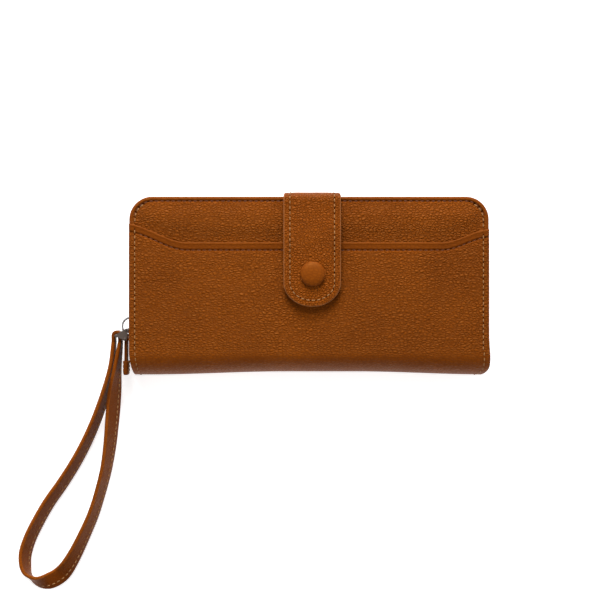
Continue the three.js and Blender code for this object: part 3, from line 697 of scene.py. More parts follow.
class WALLET_OT_stage(bpy.types.Operator):
    """Set the camera, the soft lights and the pale floor"""

    bl_idname = "wallet.stage"
    bl_label = "Stage"

    def execute(self, context):
        make_materials()
        make_bead()
        camera_data = bpy.data.cameras.new("camera")
        camera_data.lens = 99.7
        camera_data.clip_start = 0.01
        camera = bpy.data.objects.new("camera", camera_data)
        camera.location = (-0.00488, -0.00758, 0.925)
        context.scene.collection.objects.link(camera)
        context.scene.camera = camera
        add_area_light("window", (-0.06, 0.86, 0.56), (0, 0.02, 0), 0.6, 18.5)
        add_area_light("bounce", (0.62, -0.1, 0.55), (0, 0, 0), 0.6, 1.6)
        add_area_light("fill", (-0.62, -0.25, 0.5), (0, 0, 0), 0.6, 1.6)
        world = bpy.data.worlds.new("studio")
        world.use_nodes = True
        world.node_tree.nodes["Background"].inputs["Color"].default_value = (1, 1, 1, 1)
        world.node_tree.nodes["Background"].inputs["Strength"].default_value = 0.22
        context.scene.world = world
        context.scene.view_settings.view_transform = "Standard"
        self.make_floor()
        return {"FINISHED"}

    def make_floor(self):
        material, tree, shader = new_material("pale_floor")
        place = add_node(tree, "ShaderNodeTexCoord").outputs["Object"]
        drift = add_node(tree, "ShaderNodeTexNoise", {"Vector": place, "Scale": 9.0, "Detail": 2.0}).outputs[0]
        paper = mix_colour(tree, drift, (0.93, 0.93, 0.93, 1), (0.96, 0.96, 0.955, 1))
        tree.links.new(paper, shader.inputs["Base Color"])
        shader.inputs["Roughness"].default_value = 0.9
        shader.inputs["Emission Color"].default_value = (1, 1, 1, 1)
        shader.inputs["Emission Strength"].default_value = 0.62
        bm = bmesh.new()
        bmesh.ops.create_grid(bm, x_segments=8, y_segments=8, size=5.0, matrix=Matrix.Translation((0, 0, -0.1 * MM)))
        mesh = bpy.data.meshes.new("floor")
        bm.to_mesh(mesh)
        bm.free()
        mesh.materials.append(material)
        floor = bpy.data.objects.new("floor", mesh)
        bpy.context.scene.collection.objects.link(floor)


def add_area_light(name, place, target, size, power):
    data = bpy.data.lights.new(name, "AREA")
    data.size = size
    data.energy = power
    light = bpy.data.objects.new(name, data)
    light.location = place
    light.rotation_mode = "QUATERNION"
    light.rotation_quaternion = (Vector(target) - Vector(place)).to_track_quat("-Z", "Y")
    bpy.context.scene.collection.objects.link(light)


# ---- The wrist strap ----


def smooth_route(points, steps=5):
    """A smooth line through the points."""
    points = [Vector(point) for point in points]
    padded = [points[0] * 2 - points[1], *points, points[-1] * 2 - points[-2]]
    line = []
    for a, b, c, d in zip(padded, padded[1:], padded[2:], padded[3:]):
        for step in range(steps):
            t = step / steps
            line.append(
                0.5 * (2 * b + (c - a) * t + (2 * a - 5 * b + 4 * c - d) * t**2 + (3 * b - a - 3 * c + d) * t**3)
            )
    return [*line, points[-1]]


def strap_places():
    """The strap's places: upright by the hanger and leaning over where it lies on the floor."""
    sizes = bpy.context.scene.wallet_sizes
    lean = Vector((-0.6, 0.8, 0))
    line = smooth_route(STRAP_ROUTE)
    shares = smooth_route([(value, 0, 0) for value in STRAP_LEANS])
    places = []
    for index, point in enumerate(line):
        along = (line[min(index + 1, len(line) - 1)] - line[max(index - 1, 0)]).normalized()
        share = min(max(shares[index].x, 0.0), 0.97)
        flat = (lean - along * lean.dot(along)) * share
        flat *= min(0.98 / max(flat.length, 0.001), 1.25)
        wide = flat + UP * math.sqrt(max(1 - flat.length_squared, 0.0))
        wide = (wide - along * wide.dot(along)).normalized()
        drop = sizes.strap_width / 2 * (1 - wide.z) - sizes.strap_thickness / 2 * math.sqrt(1 - wide.z**2)
        places.append(place_on(point - UP * max(drop, 0.0) * smooth_step(share, 0.0, 0.5), along, wide))
    return places


class WALLET_OT_wrist_strap(bpy.types.Operator):
    """Sew the wrist strap and fold its ends round the hanger"""

    bl_idname = "wallet.wrist_strap"
    bl_label = "Wrist strap"

    def execute(self, context):
        sizes = context.scene.wallet_sizes
        places = strap_places()
        bm = bmesh.new()
        sweep(bm, section_face(bm, sizes.strap_thickness, sizes.strap_width, 1.0 * MM, 4), places)
        self.paint_rim_highlight(bm, places)
        strap = finish_piece(
            bm, "wrist_strap_leather", ["strap_leather", "strap_rim_painted_highlight"], "wrist_strap", ["wrist_strap"]
        )
        fold = self.make_fold()
        thread = self.make_stitches(places)
        sum((b - a).length for a, b in zip(smooth_route(STRAP_ROUTE), smooth_route(STRAP_ROUTE)[1:]))
        [tuple(point) for point in smooth_route(STRAP_ROUTE)]
        return {"FINISHED"}

    def paint_rim_highlight(self, bm, places):
        """Gives the strap's upper rim the lighter tan, a painted highlight."""
        level = bpy.context.scene.wallet_sizes.strap_width / 2 - 0.9 * MM
        for face in bm.faces:
            middle = face.calc_center_median()
            nearest = min(places, key=lambda place: (place.translation - middle).length_squared)
            height = (nearest.inverted() @ middle).y
            face.material_index = 1 if height > level else 0

    def make_fold(self):
        """The strap's end passed round the hanger's bar, from one leg to the other."""
        sizes = bpy.context.scene.wallet_sizes
        left, right = Vector(STRAP_ROUTE[0]), Vector(STRAP_ROUTE[-1])
        reach = (right.x - left.x) / 2
        angles = [math.pi * step / 14 for step in range(15)]
        bend = [
            Vector((STRAP_BAR.x - reach * math.cos(a), STRAP_BAR.y + reach * math.sin(a), STRAP_BAR.z)) for a in angles
        ]
        below = Vector((0, -0.2 * MM, 0))
        line = [left + below, (left + bend[0]) / 2, *bend, (right + bend[-1]) / 2, right + below]
        bm = bmesh.new()
        sweep(bm, section_face(bm, sizes.strap_thickness * 0.92, sizes.strap_width, 0.7 * MM), places_along(line, UP))
        return finish_piece(bm, "wrist_strap_fold", "strap_leather", "wrist_strap", ["strap_end_loop"])

    def make_stitches(self, places):
        """A row of stitches on both faces, near the rim where the folded leather's edges meet."""
        sizes = bpy.context.scene.wallet_sizes
        bm = bmesh.new()
        height = 2.6 * MM - sizes.strap_width / 2
        face = sizes.strap_thickness / 2
        for side in (-face, face):
            line = [place @ Vector((side, height, 0)) for place in places]
            outward = [(place.to_3x3() @ Vector((side, 0, 0))).normalized() for place in places]
            steps = even_steps(line, sizes.stitch_pitch, 6 * MM)
            for centre, along in steps[:-1]:
                nearest = min(range(len(line)), key=lambda index: (line[index] - centre).length)
                add_stitch(bm, centre, along, outward[nearest])
        return finish_piece(bm, "wrist_strap_stitches", "beige_thread", "wrist_strap")


# ---- Covers and spine ----


def cover_face(bm, z, top_cuts=0):
    """A flat face with the cover's outline: square at the spine, rounded at the zipped corners."""
    x, radius = HALF_WIDTH, bpy.context.scene.wallet_sizes.corner_radius
    face = add_face(bm, [(-x, PANEL_BOTTOM_Y, z), (x, PANEL_BOTTOM_Y, z), (x, TOP_Y, z), (-x, TOP_Y, z)])
    face = round_corners(bm, [vert for vert in face.verts if vert.co.y > 0], radius, 14)
    if top_cuts:
        top_edges = [edge for edge in face.edges if min(vert.co.y for vert in edge.verts) > TOP_Y - 0.01 * MM]
        longest = max(top_edges, key=lambda edge: edge.calc_length())
        bmesh.ops.subdivide_edges(bm, edges=[longest], cuts=top_cuts)
    return bm.faces[:][0]


def cut_across(bm, point, direction):
    """Cuts every face that a plane goes through, and keeps both sides."""
    bmesh.ops.bisect_plane(bm, geom=[*bm.verts, *bm.edges, *bm.faces], plane_co=point, plane_no=direction)


def add_rings(bm, face, steps):
    """Insets a face again and again. Each step is how far in and a height, which may depend on the place."""
    for inset, height in steps:
        bmesh.ops.inset_region(bm, faces=[face], thickness=inset, use_even_offset=True, use_boundary=True)
        for vert in face.verts:
            vert.co.z = height(vert.co) if callable(height) else height


def raise_face(bm, face, z):
    """Extrudes a face straight to another level and gives the moved face."""
    moved = grow_faces(bm, [face])[0]
    for vert in moved.verts:
        vert.co.z = z
    return moved


class WALLET_OT_front_cover(bpy.types.Operator):
    """Pad the front cover, with its piped edge and the sewn groove along it"""

    bl_idname = "wallet.front_cover"
    bl_label = "Front cover"

    def execute(self, context):
        low, high = COVER_LOW.z, COVER_HIGH.z

        def groove(depth, scallop):
            def height(point):
                share = 0.12 + 0.88 * smooth_step(point.y, 34 * MM, 44 * MM)
                pull = 1 - scallop * (1 - wave_of_stitches(point.x)) if abs(point.x) < 86 * MM else 1
                return high - depth * share * pull

            return height

        bm = bmesh.new()
        base = cover_face(bm, low, top_cuts=200)
        top = raise_face(bm, base, high - 0.95 * MM)
        for face in bm.faces:
            face.material_index = 1
        steps = [
            (0.3 * MM, high - 0.4 * MM),
            (0.45 * MM, high - 0.05 * MM),
            (0.7 * MM, high),
            (0.5 * MM, groove(0.25 * MM, 0.0)),
            (0.35 * MM, groove(0.95 * MM, 0.35)),
            (0.35 * MM, groove(0.9 * MM, 0.75)),
            (0.45 * MM, groove(0.1 * MM, 1.0)),
            (0.8 * MM, high + 0.18 * MM),
            (2.5 * MM, high + 0.26 * MM),
            (1.5 * MM, high + 0.26 * MM),
        ]
        count_before = set(bm.faces)
        add_rings(bm, top, steps[:4])
        for face in set(bm.faces) - count_before:
            face.material_index = 1
        count_before = set(bm.faces)
        add_rings(bm, top, steps[4:])
        for face in set(bm.faces) - count_before:
            face.material_index = 0
        top.material_index = 0
        self.pad_above_mouth(bm, high - 0.5 * MM)
        finish_piece(
            bm, "front_cover_leather", ["grained_leather", "band_leather"], "front_cover", ["front_cover"]
        )
        return {"FINISHED"}

    def pad_above_mouth(self, bm, level):
        """Swells the leather between the top edge and the pocket's mouth, and sinks it into the mouth."""
        for step in range(20):
            cut_across(bm, (0, 18 * MM + step * 1.4 * MM, 0), (0, 1, 0))
        for step in range(-15, 16):
            cut_across(bm, (step * 6.2 * MM, 0, 0), (1, 0, 0))
        edge = TOP_Y - 2.6 * MM
        for vert in bm.verts:
            point = vert.co
            if point.z < level or point.y < 10 * MM:
                continue
            above = point.y - mouth_y(point.x)
            swell = 1.1 * MM * smooth_step(edge - point.y, 0, 9 * MM)
            sink = 1.7 * MM * (1 - smooth_step(above, -1 * MM, 11 * MM))
            inside = smooth_step(HALF_WIDTH - 3.6 * MM - abs(point.x), 0, 5 * MM)
            point.z += (swell - sink) * inside


def grow_row(bm, edges, move):
    """Extrudes a row of edges and moves each new vertex."""
    grown = bmesh.ops.extrude_edge_only(bm, edges=edges)["geom"]
    verts = set(only(grown, bmesh.types.BMVert))
    for vert in verts:
        move(vert.co)
    return [edge for edge in only(grown, bmesh.types.BMEdge) if set(edge.verts) <= verts]


def start_row(bm, y_of_x, z, cuts):
    """One long edge across the wallet, cut into short ones and laid on a line."""
    ends = [bm.verts.new((side * HALF_WIDTH, 0, z)) for side in (-1, 1)]
    edge = bm.edges.new(ends)
    bmesh.ops.subdivide_edges(bm, edges=[edge], cuts=cuts)
    for vert in bm.verts:
        vert.co.y = y_of_x(vert.co.x)
    return bm.edges[:]


def spin_round_spine(bm, edges, direction, steps=14):
    """Carries a row of edges a quarter of the way round the spine: direction 1 from the front, -1 from the back."""
    verts = list({vert for edge in edges for vert in edge.verts})
    bmesh.ops.spin(
        bm,
        geom=[*verts, *edges],
        cent=SPINE_CENTRE,
        axis=(1, 0, 0),
        angle=direction * math.pi / 2,
        steps=steps,
    )


def thicken(bm, thickness, board_radius):
    """Gives a sheet its thickness, and more of it round the spine, where it has a board inside."""
    bmesh.ops.recalc_face_normals(bm, faces=bm.faces)
    outer = set(bm.verts)
    bmesh.ops.solidify(bm, geom=bm.faces[:], thickness=thickness)
    for vert in bm.verts:
        if vert not in outer and vert.co.y < SPINE_CENTRE.y:
            spoke = Vector((0, vert.co.y - SPINE_CENTRE.y, vert.co.z - SPINE_CENTRE.z))
            vert.co -= spoke * (1 - board_radius / max(spoke.length, board_radius))


class WALLET_OT_slip_pocket(bpy.types.Operator):
    """Lay the slip pocket with its turned mouth band, and carry its leather round the spine"""

    bl_idname = "wallet.slip_pocket"
    bl_label = "Slip pocket and spine"

    def execute(self, context):
        top = POCKET_HIGH.z
        band = context.scene.wallet_sizes.mouth_band
        bm = bmesh.new()
        row = start_row(bm, mouth_y, POCKET_LOW.z + 0.1 * MM, 389)

        def at(distance, lift, scallop=0.0):
            def move(point):
                point.y = mouth_y(point.x) - distance
                point.z = top + lift + scallop * wave_of_stitches(point.x)

            return move

        band_rows = [
            at(-0.08 * MM, -0.45 * MM),
            at(0.05 * MM, 0.05 * MM),
            at(0.35 * MM, 0.3 * MM),
            at(0.75 * MM, 0.34 * MM),
            at(1.2 * MM, 0.18 * MM),
            at(1.7 * MM, 0.06 * MM),
            at(band - 1 * MM, 0.08 * MM),
            at(band - 0.5 * MM, -0.02 * MM),
            at(band - 0.2 * MM, -0.45 * MM),
        ]
        body_rows = [
            at(band + 0.15 * MM, -0.75 * MM, 0.25 * MM),
            at(band + 0.5 * MM, -0.35 * MM, 0.4 * MM),
            at(band + 0.95 * MM, 0.06 * MM, 0.1 * MM),
            at(band + 1.8 * MM, 0.2 * MM),
            at(band + 4 * MM, 0.22 * MM),
        ]
        for move in band_rows:
            row = grow_row(bm, row, move)
        for face in bm.faces:
            face.material_index = 1
        band_faces = set(bm.faces)
        for move in body_rows:
            row = grow_row(bm, row, move)
        for share in (0.5, 1.0):
            level = 12 * MM - share * 40 * MM

            def lay_flat(point, level=level):
                point.y = level
                point.z = top + 0.18 * MM

            row = grow_row(bm, row, lay_flat)

        def meet_spine(point):
            point.y = SPINE_CENTRE.y
            point.z = top

        row = grow_row(bm, row, meet_spine)
        spin_round_spine(bm, row, 1)
        for face in bm.faces:
            if face not in band_faces:
                face.material_index = 0
        for vert in bm.verts:
            seam = HALF_WIDTH - context.scene.wallet_sizes.side_seam_inset
            if vert.co.y < mouth_y(vert.co.x) - 0.1 * MM and vert.co.z > SPINE_CENTRE.z:
                vert.co.z -= 0.16 * MM * math.exp(-(((abs(vert.co.x) - seam) / (0.5 * MM)) ** 2))
            rim = max(abs(vert.co.x) - (HALF_WIDTH - 0.5 * MM), 0) / (0.5 * MM)
            if vert.co.y > SPINE_CENTRE.y:
                vert.co.z -= 0.25 * MM * rim
        thicken(bm, 0.75 * MM, SPINE_RADIUS - 2.2 * MM)
        for vert in bm.verts:
            shape_spine_end(vert.co)
        piece = finish_piece(
            bm, "slip_pocket_leather", ["grained_leather", "band_leather"], None, ["slip_pocket", "spine_front"], 50
        )
        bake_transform(piece)
        return {"FINISHED"}


SPINE_SEAM = (0, SPINE_LOW.y, SPINE_CENTRE.z)
SPINE_TOP = (0, SPINE_CENTRE.y, 2 * SPINE_RADIUS)
SPINE_BOTTOM = (0, SPINE_CENTRE.y, 0)


class WALLET_OT_back_cover(bpy.types.Operator):
    """Lay the back cover with the tab's recess, and the back half of the spine"""

    bl_idname = "wallet.back_cover"
    bl_label = "Back cover and spine"

    def execute(self, context):
        low, high = BACK_LOW.z, BACK_HIGH.z
        bm = bmesh.new()
        base = cover_face(bm, high)
        outer = raise_face(bm, base, low + 0.9 * MM)
        for face in bm.faces:
            face.material_index = 1
        steps = [
            (0.3 * MM, low + 0.35 * MM),
            (0.4 * MM, low + 0.08 * MM),
            (0.5 * MM, low),
            (1.2 * MM, low),
            (0.4 * MM, low + 0.1 * MM),
            (0.4 * MM, low + 0.16 * MM),
            (0.4 * MM, low + 0.1 * MM),
            (0.4 * MM, low),
            (1.0 * MM, low),
        ]
        add_rings(bm, outer, steps[:3])
        edge_faces = set(bm.faces)
        add_rings(bm, outer, steps[3:])
        for face in bm.faces:
            face.material_index = 1 if face in edge_faces and face is not outer else 0
        piece = finish_piece(bm, "back_cover_leather", ["grained_leather", "band_leather"], "back", ["back_cover"])
        self.cut_recess(piece)
        self.make_spine()
        return {"FINISHED"}

    def cut_recess(self, piece):
        """Sinks the strip where the tab is sewn in under the cover's leather."""
        low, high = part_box("tab_anchor")
        bm = bmesh.new()
        bm.from_mesh(piece.data)
        gap = 0.25 * MM
        cuts = [
            ((low.x - gap, 0, 0), (1, 0, 0)),
            ((high.x + gap, 0, 0), (1, 0, 0)),
            ((0, low.y - gap, 0), (0, 1, 0)),
        ]
        for point, direction in cuts:
            cut_across(bm, point, direction)
        inside = [
            face
            for face in bm.faces
            if low.x - gap < face.calc_center_median().x < high.x + gap
            and face.calc_center_median().y > low.y - gap
            and face.normal.z < -0.3
        ]
        for face in grow_faces(bm, inside):
            for vert in face.verts:
                vert.co.z = high.z + 0.05 * MM
        bmesh.ops.recalc_face_normals(bm, faces=bm.faces)
        bm.to_mesh(piece.data)
        bm.free()

    def make_spine(self):
        bm = bmesh.new()
        row = start_row(bm, lambda x: PANEL_BOTTOM_Y - 0.02 * MM, 0.0, 129)

        def meet_spine(point):
            point.y = SPINE_CENTRE.y

        row = grow_row(bm, row, meet_spine)
        spin_round_spine(bm, row, -1)
        thicken(bm, 0.75 * MM, SPINE_RADIUS - 2.2 * MM)
        for vert in bm.verts:
            shape_spine_end(vert.co)
        piece = finish_piece(bm, "spine_back_leather", "grained_leather", None, ["spine_back"], 50)
        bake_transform(piece)


class WALLET_OT_side_seams(bpy.types.Operator):
    """Sew the side seams, and the grooves along the top edge and the pocket's mouth"""

    bl_idname = "wallet.side_seams"
    bl_label = "Side seams"

    def execute(self, context):
        sizes = context.scene.wallet_sizes
        inset = sizes.side_seam_inset
        self.sew_spine("side_seam_on_spine_front", 1, "coin_pocket", "front_cover", SPINE_SEAM, SPINE_TOP)
        self.sew_spine("side_seam_on_spine_back", -1, "back", "coin_pocket", SPINE_BOTTOM, SPINE_SEAM)
        thread, hole_shades = bmesh.new(), bmesh.new()
        on_pocket = POCKET_HIGH.z + 0.14 * MM
        on_cover = COVER_HIGH.z + 0.16 * MM
        x = HALF_WIDTH - inset
        for side in (-1, 1):
            mouth = mouth_y(side * x)
            lower = [Vector((side * x, PANEL_BOTTOM_Y, on_pocket)), Vector((side * x, mouth - 1 * MM, on_pocket))]
            add_seam(thread, hole_shades, lower, UP)
            rim = rim_line(inset, mouth + 1.2 * MM, on_cover)
            upper = [point for point in rim if point.x * side > 88 * MM]
            if side > 0:
                upper.reverse()
            add_seam(thread, hole_shades, upper, UP)
        finish_piece(thread, "front_side_seams", "beige_thread", "front_cover")
        finish_piece(hole_shades, "front_painted_hole_shade", "needle_hole", "front_cover")
        self.sew_grooves()
        self.sew_back()
        return {"FINISHED"}

    def sew_spine(self, name, direction, body_a, body_b, start, end):
        """Stitches that go round the spine with the leather."""
        bm = bmesh.new()
        sizes = bpy.context.scene.wallet_sizes
        x = HALF_WIDTH - sizes.side_seam_inset
        radius = SPINE_RADIUS + 0.03 * MM
        step = sizes.stitch_pitch / radius
        for side in (-1, 1):
            angle = step / 2
            while angle < math.pi / 2 - step / 3:
                outward = Vector((0, -math.sin(angle), direction * math.cos(angle)))
                along = Vector((0, -math.cos(angle), -direction * math.sin(angle)))
                centre = SPINE_CENTRE + outward * radius + Vector((side * x, 0, 0))
                shape_spine_end(centre)
                add_stitch(bm, centre, along, outward)
                angle += step
        piece = finish_piece(bm, name, "beige_thread")
        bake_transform(piece)

    def sew_grooves(self):
        """Tan thread sunk in the groove under the top edge and in the groove of the pocket's mouth."""
        sizes = bpy.context.scene.wallet_sizes
        bm = bmesh.new()
        top_line = rim_line(2.5 * MM, 30 * MM, COVER_HIGH.z - 0.55 * MM)
        top_line = [point for point in top_line if point.y > 37 * MM]
        hole_shades = bmesh.new()
        add_seam(bm, hole_shades, top_line, UP)
        steps = 64
        reach = HALF_WIDTH - 5 * MM
        mouth = []
        for step in range(steps + 1):
            x = -reach + 2 * reach * step / steps
            mouth.append(Vector((x, mouth_y(x) - sizes.mouth_band - 0.1 * MM, POCKET_HIGH.z - 0.48 * MM)))
        add_seam(bm, hole_shades, mouth, UP)
        finish_piece(bm, "groove_stitches", "tan_thread", "front_cover")
        # The dark beads between the stitches are painted shade for needle holes.
        finish_piece(hole_shades, "groove_painted_hole_shade", "needle_hole", "front_cover")

    def sew_back(self):
        """The seam round the back cover, which stops either side of the tab."""
        thread = bmesh.new()
        low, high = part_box("tab_anchor")
        line = rim_line(bpy.context.scene.wallet_sizes.side_seam_inset, PANEL_BOTTOM_Y, 0.08 * MM)
        for centre, along in even_steps(line, bpy.context.scene.wallet_sizes.stitch_pitch, 1.5 * MM):
            if centre.y < 40 * MM or not low.x - 2 * MM < centre.x < high.x + 2 * MM:
                add_stitch(thread, centre, along, -UP)
        for x in (low.x + 3 * MM, high.x - 3 * MM):
            foot = Vector((x, low.y + 2 * MM, 0.05 * MM))
            add_seam(thread, None, [foot, foot + Vector((0, 15 * MM, 0))], -UP)
        foot = Vector((low.x + 3 * MM, low.y + 2 * MM, 0.05 * MM))
        add_seam(thread, None, [foot, foot + Vector((high.x - low.x - 6 * MM, 0, 0))], -UP)
        finish_piece(thread, "back_seams", "beige_thread", "back")


# ---- Inside ----


class WALLET_OT_inside(bpy.types.Operator):
    """Line both covers and lay the three card panels against each"""

    bl_idname = "wallet.inside"
    bl_label = "Linings and card panels"

    def execute(self, context):
        for side, body in (("back", "back"), ("front", "front_cover")):
            inward = 1 if side == "back" else -1
            self.make_lining(side, body)
            for number in (1, 2, 3):
                self.make_card_panel(side, body, inward, number)
        return {"FINISHED"}

    def make_lining(self, side, body):
        node = f"{side}_lining"
        low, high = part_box(node)
        radius = bpy.context.scene.wallet_sizes.corner_radius - 3.2 * MM
        bm = bmesh.new()
        face = add_face(bm, [(low.x, low.y, low.z), (high.x, low.y, low.z), (high.x, high.y, low.z), (low.x, high.y, low.z)])
        face = round_corners(bm, [vert for vert in face.verts if vert.co.y > 0], radius, 8)
        raise_face(bm, face, high.z)
        finish_piece(bm, f"{side}_lining_cloth", "lining_cloth", body, [node])

    def make_card_panel(self, side, body, inward, number):
        """A panel with a turned band along its mouth, a seam under it and a seam between its two slots."""
        node = f"{side}_card_panel_{number}"
        low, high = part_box(node)
        bm = bmesh.new()
        add_box(bm, low, high, 0.18 * MM, 2)
        face_z = high.z if inward > 0 else low.z
        band_low = Vector((low.x + 0.3 * MM, high.y - 4 * MM, min(face_z, face_z + inward * 0.16 * MM)))
        band_high = Vector((high.x - 0.3 * MM, high.y - 0.05 * MM, max(face_z, face_z + inward * 0.16 * MM)))
        add_box(bm, band_low, band_high, 0.07 * MM, 2)
        finish_piece(bm, f"{side}_card_panel_{number}_leather", "card_leather", body, [node])
        thread = bmesh.new()
        outward = UP * inward
        level = face_z + inward * 0.05 * MM
        seam_y = high.y - 4.6 * MM
        add_seam(thread, None, [Vector((low.x + 3 * MM, seam_y, level)), Vector((high.x - 3 * MM, seam_y, level))], outward)
        if number == 3:
            foot = Vector((0, low.y + 3 * MM, level))
            add_seam(thread, None, [foot, Vector((0, seam_y, level))], outward)
        finish_piece(thread, f"{side}_card_panel_{number}_seams", "tan_thread", body)


class WALLET_OT_gussets(bpy.types.Operator):
    """Fold the cloth gussets in at both sides of the coin pocket"""

    bl_idname = "wallet.gussets"
    bl_label = "Side gussets"

    def execute(self, context):
        for name in ("left_gusset_back", "right_gusset_back", "left_gusset_front", "right_gusset_front"):
            self.make_gusset(name)
        for side, name in ((-1, "left"), (1, "right")):
            self.make_spine_end(side, f"{name}_spine_fold_back", -1, "back", "coin_pocket", SPINE_BOTTOM, SPINE_SEAM)
            self.make_spine_end(side, f"{name}_spine_fold_front", 1, "coin_pocket", "front_cover", SPINE_SEAM, SPINE_TOP)
        return {"FINISHED"}

    def make_spine_end(self, side, name, direction, body_a, body_b, start, end):
        """A quarter round of cloth, tucked a little in, that closes one half of the spine's end."""
        reach = SPINE_RADIUS - 2.3 * MM
        edge = HALF_WIDTH - 6.5 * MM
        bm = bmesh.new()
        ends = [bm.verts.new(SPINE_CENTRE + UP * direction * radius) for radius in (0.3 * MM, reach)]
        bmesh.ops.subdivide_edges(bm, edges=[bm.edges.new(ends)], cuts=9)
        spin_round_spine(bm, bm.edges[:], direction, 10)
        for vert in bm.verts:
            radius = (vert.co - SPINE_CENTRE).length
            vert.co.x = side * (edge - 2.5 * MM * math.cos(math.pi / 2 * radius / reach))
        bmesh.ops.solidify(bm, geom=bm.faces[:], thickness=0.4 * MM)
        piece = finish_piece(bm, name, "gusset_cloth")
        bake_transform(piece)

    def make_gusset(self, name):
        low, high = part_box(name)
        side = -1 if name.startswith("left") else 1
        outer = max(abs(low.x), abs(high.x)) - 0.3 * MM
        depth = high.x - low.x - 1.2 * MM
        bm = bmesh.new()
        ends = [bm.verts.new((0, low.y, z)) for z in (low.z + 0.15 * MM, high.z - 0.15 * MM)]
        bmesh.ops.subdivide_edges(bm, edges=[bm.edges.new(ends)], cuts=15)
        for vert in bm.verts:
            share = (vert.co.z - low.z) / (high.z - low.z)
            vert.co.x = side * (outer - depth * math.sin(math.pi * min(max(share, 0), 1)) ** 1.3)
        row = bm.edges[:]
        steps = 12
        for _ in range(steps):

            def up_a_bit(point):
                point.y += (high.y - low.y) / steps

            row = grow_row(bm, row, up_a_bit)
        bmesh.ops.solidify(bm, geom=bm.faces[:], thickness=0.3 * MM)
        piece = finish_piece(bm, f"{name}_cloth", "gusset_cloth", None, [name])
        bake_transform(piece)


# ---- Zips ----


def add_teeth(bm, line, pitch, start, reach, outward):
    """A row of nylon teeth along a line; reach is half a tooth's length along, across and outwards."""
    for centre, along in even_steps(line, pitch, start):
        across = outward.cross(along).normalized()
        axes = Matrix((along * reach[0], across * reach[1], outward * reach[2]))
        add_bead(bm, Matrix.Translation(centre) @ axes.transposed().to_4x4())


class WALLET_OT_main_zip(bpy.types.Operator):
    """Run the main zip's tapes and teeth round the three open sides"""

    bl_idname = "wallet.main_zip"
    bl_label = "Main zip"

    def execute(self, context):
        for side, body, shift in (("back", "back", 0.25), ("front", "front_cover", 0.75)):
            self.make_tape(side, body)
            self.make_teeth(side, body, shift)
        return {"FINISHED"}

    def make_tape(self, side, body):
        node = f"{side}_zip_tape"
        low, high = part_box(node)
        inset = HALF_WIDTH - high.x + 0.3 * MM
        line = rim_line(inset, low.y, (low.z + high.z) / 2, 14)
        bm = bmesh.new()
        sweep(bm, section_face(bm, 0.5 * MM, high.z - low.z, 0.2 * MM, 2), places_along(line, UP))
        hem_z = low.z + 5.4 * MM if side == "back" else high.z - 5.4 * MM
        hem = [Vector((point.x, point.y, hem_z)) for point in rim_line(inset, low.y, 0, 14)]
        sweep(bm, section_face(bm, 0.8 * MM, 0.6 * MM, 0.2 * MM, 2), places_along(hem, UP))
        finish_piece(bm, f"{side}_zip_tape_cloth", "tape_cloth", body, [node])

    def make_teeth(self, side, body, shift):
        node = f"{side}_zip_teeth"
        low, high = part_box(node)
        pitch = bpy.context.scene.wallet_sizes.tooth_pitch
        inset = HALF_WIDTH - high.x + 1.2 * MM
        line = rim_line(inset, low.y + 0.4 * MM, (low.z + high.z) / 2, 14)
        reach = (0.52 * MM, 1.1 * MM, (high.z - low.z) / 2 + 0.42 * MM)
        bm = bmesh.new()
        add_teeth(bm, line, pitch, pitch * shift, reach, UP)
        cord_z = low.z - 0.1 * MM if side == "back" else high.z + 0.1 * MM
        cord = [Vector((point.x, point.y, cord_z)) for point in line]
        sweep(bm, section_face(bm, 1.3 * MM, 0.7 * MM, 0.3 * MM, 2), places_along(cord, UP))
        finish_piece(bm, f"{side}_zip_teeth_nylon", "nylon", body, [node])


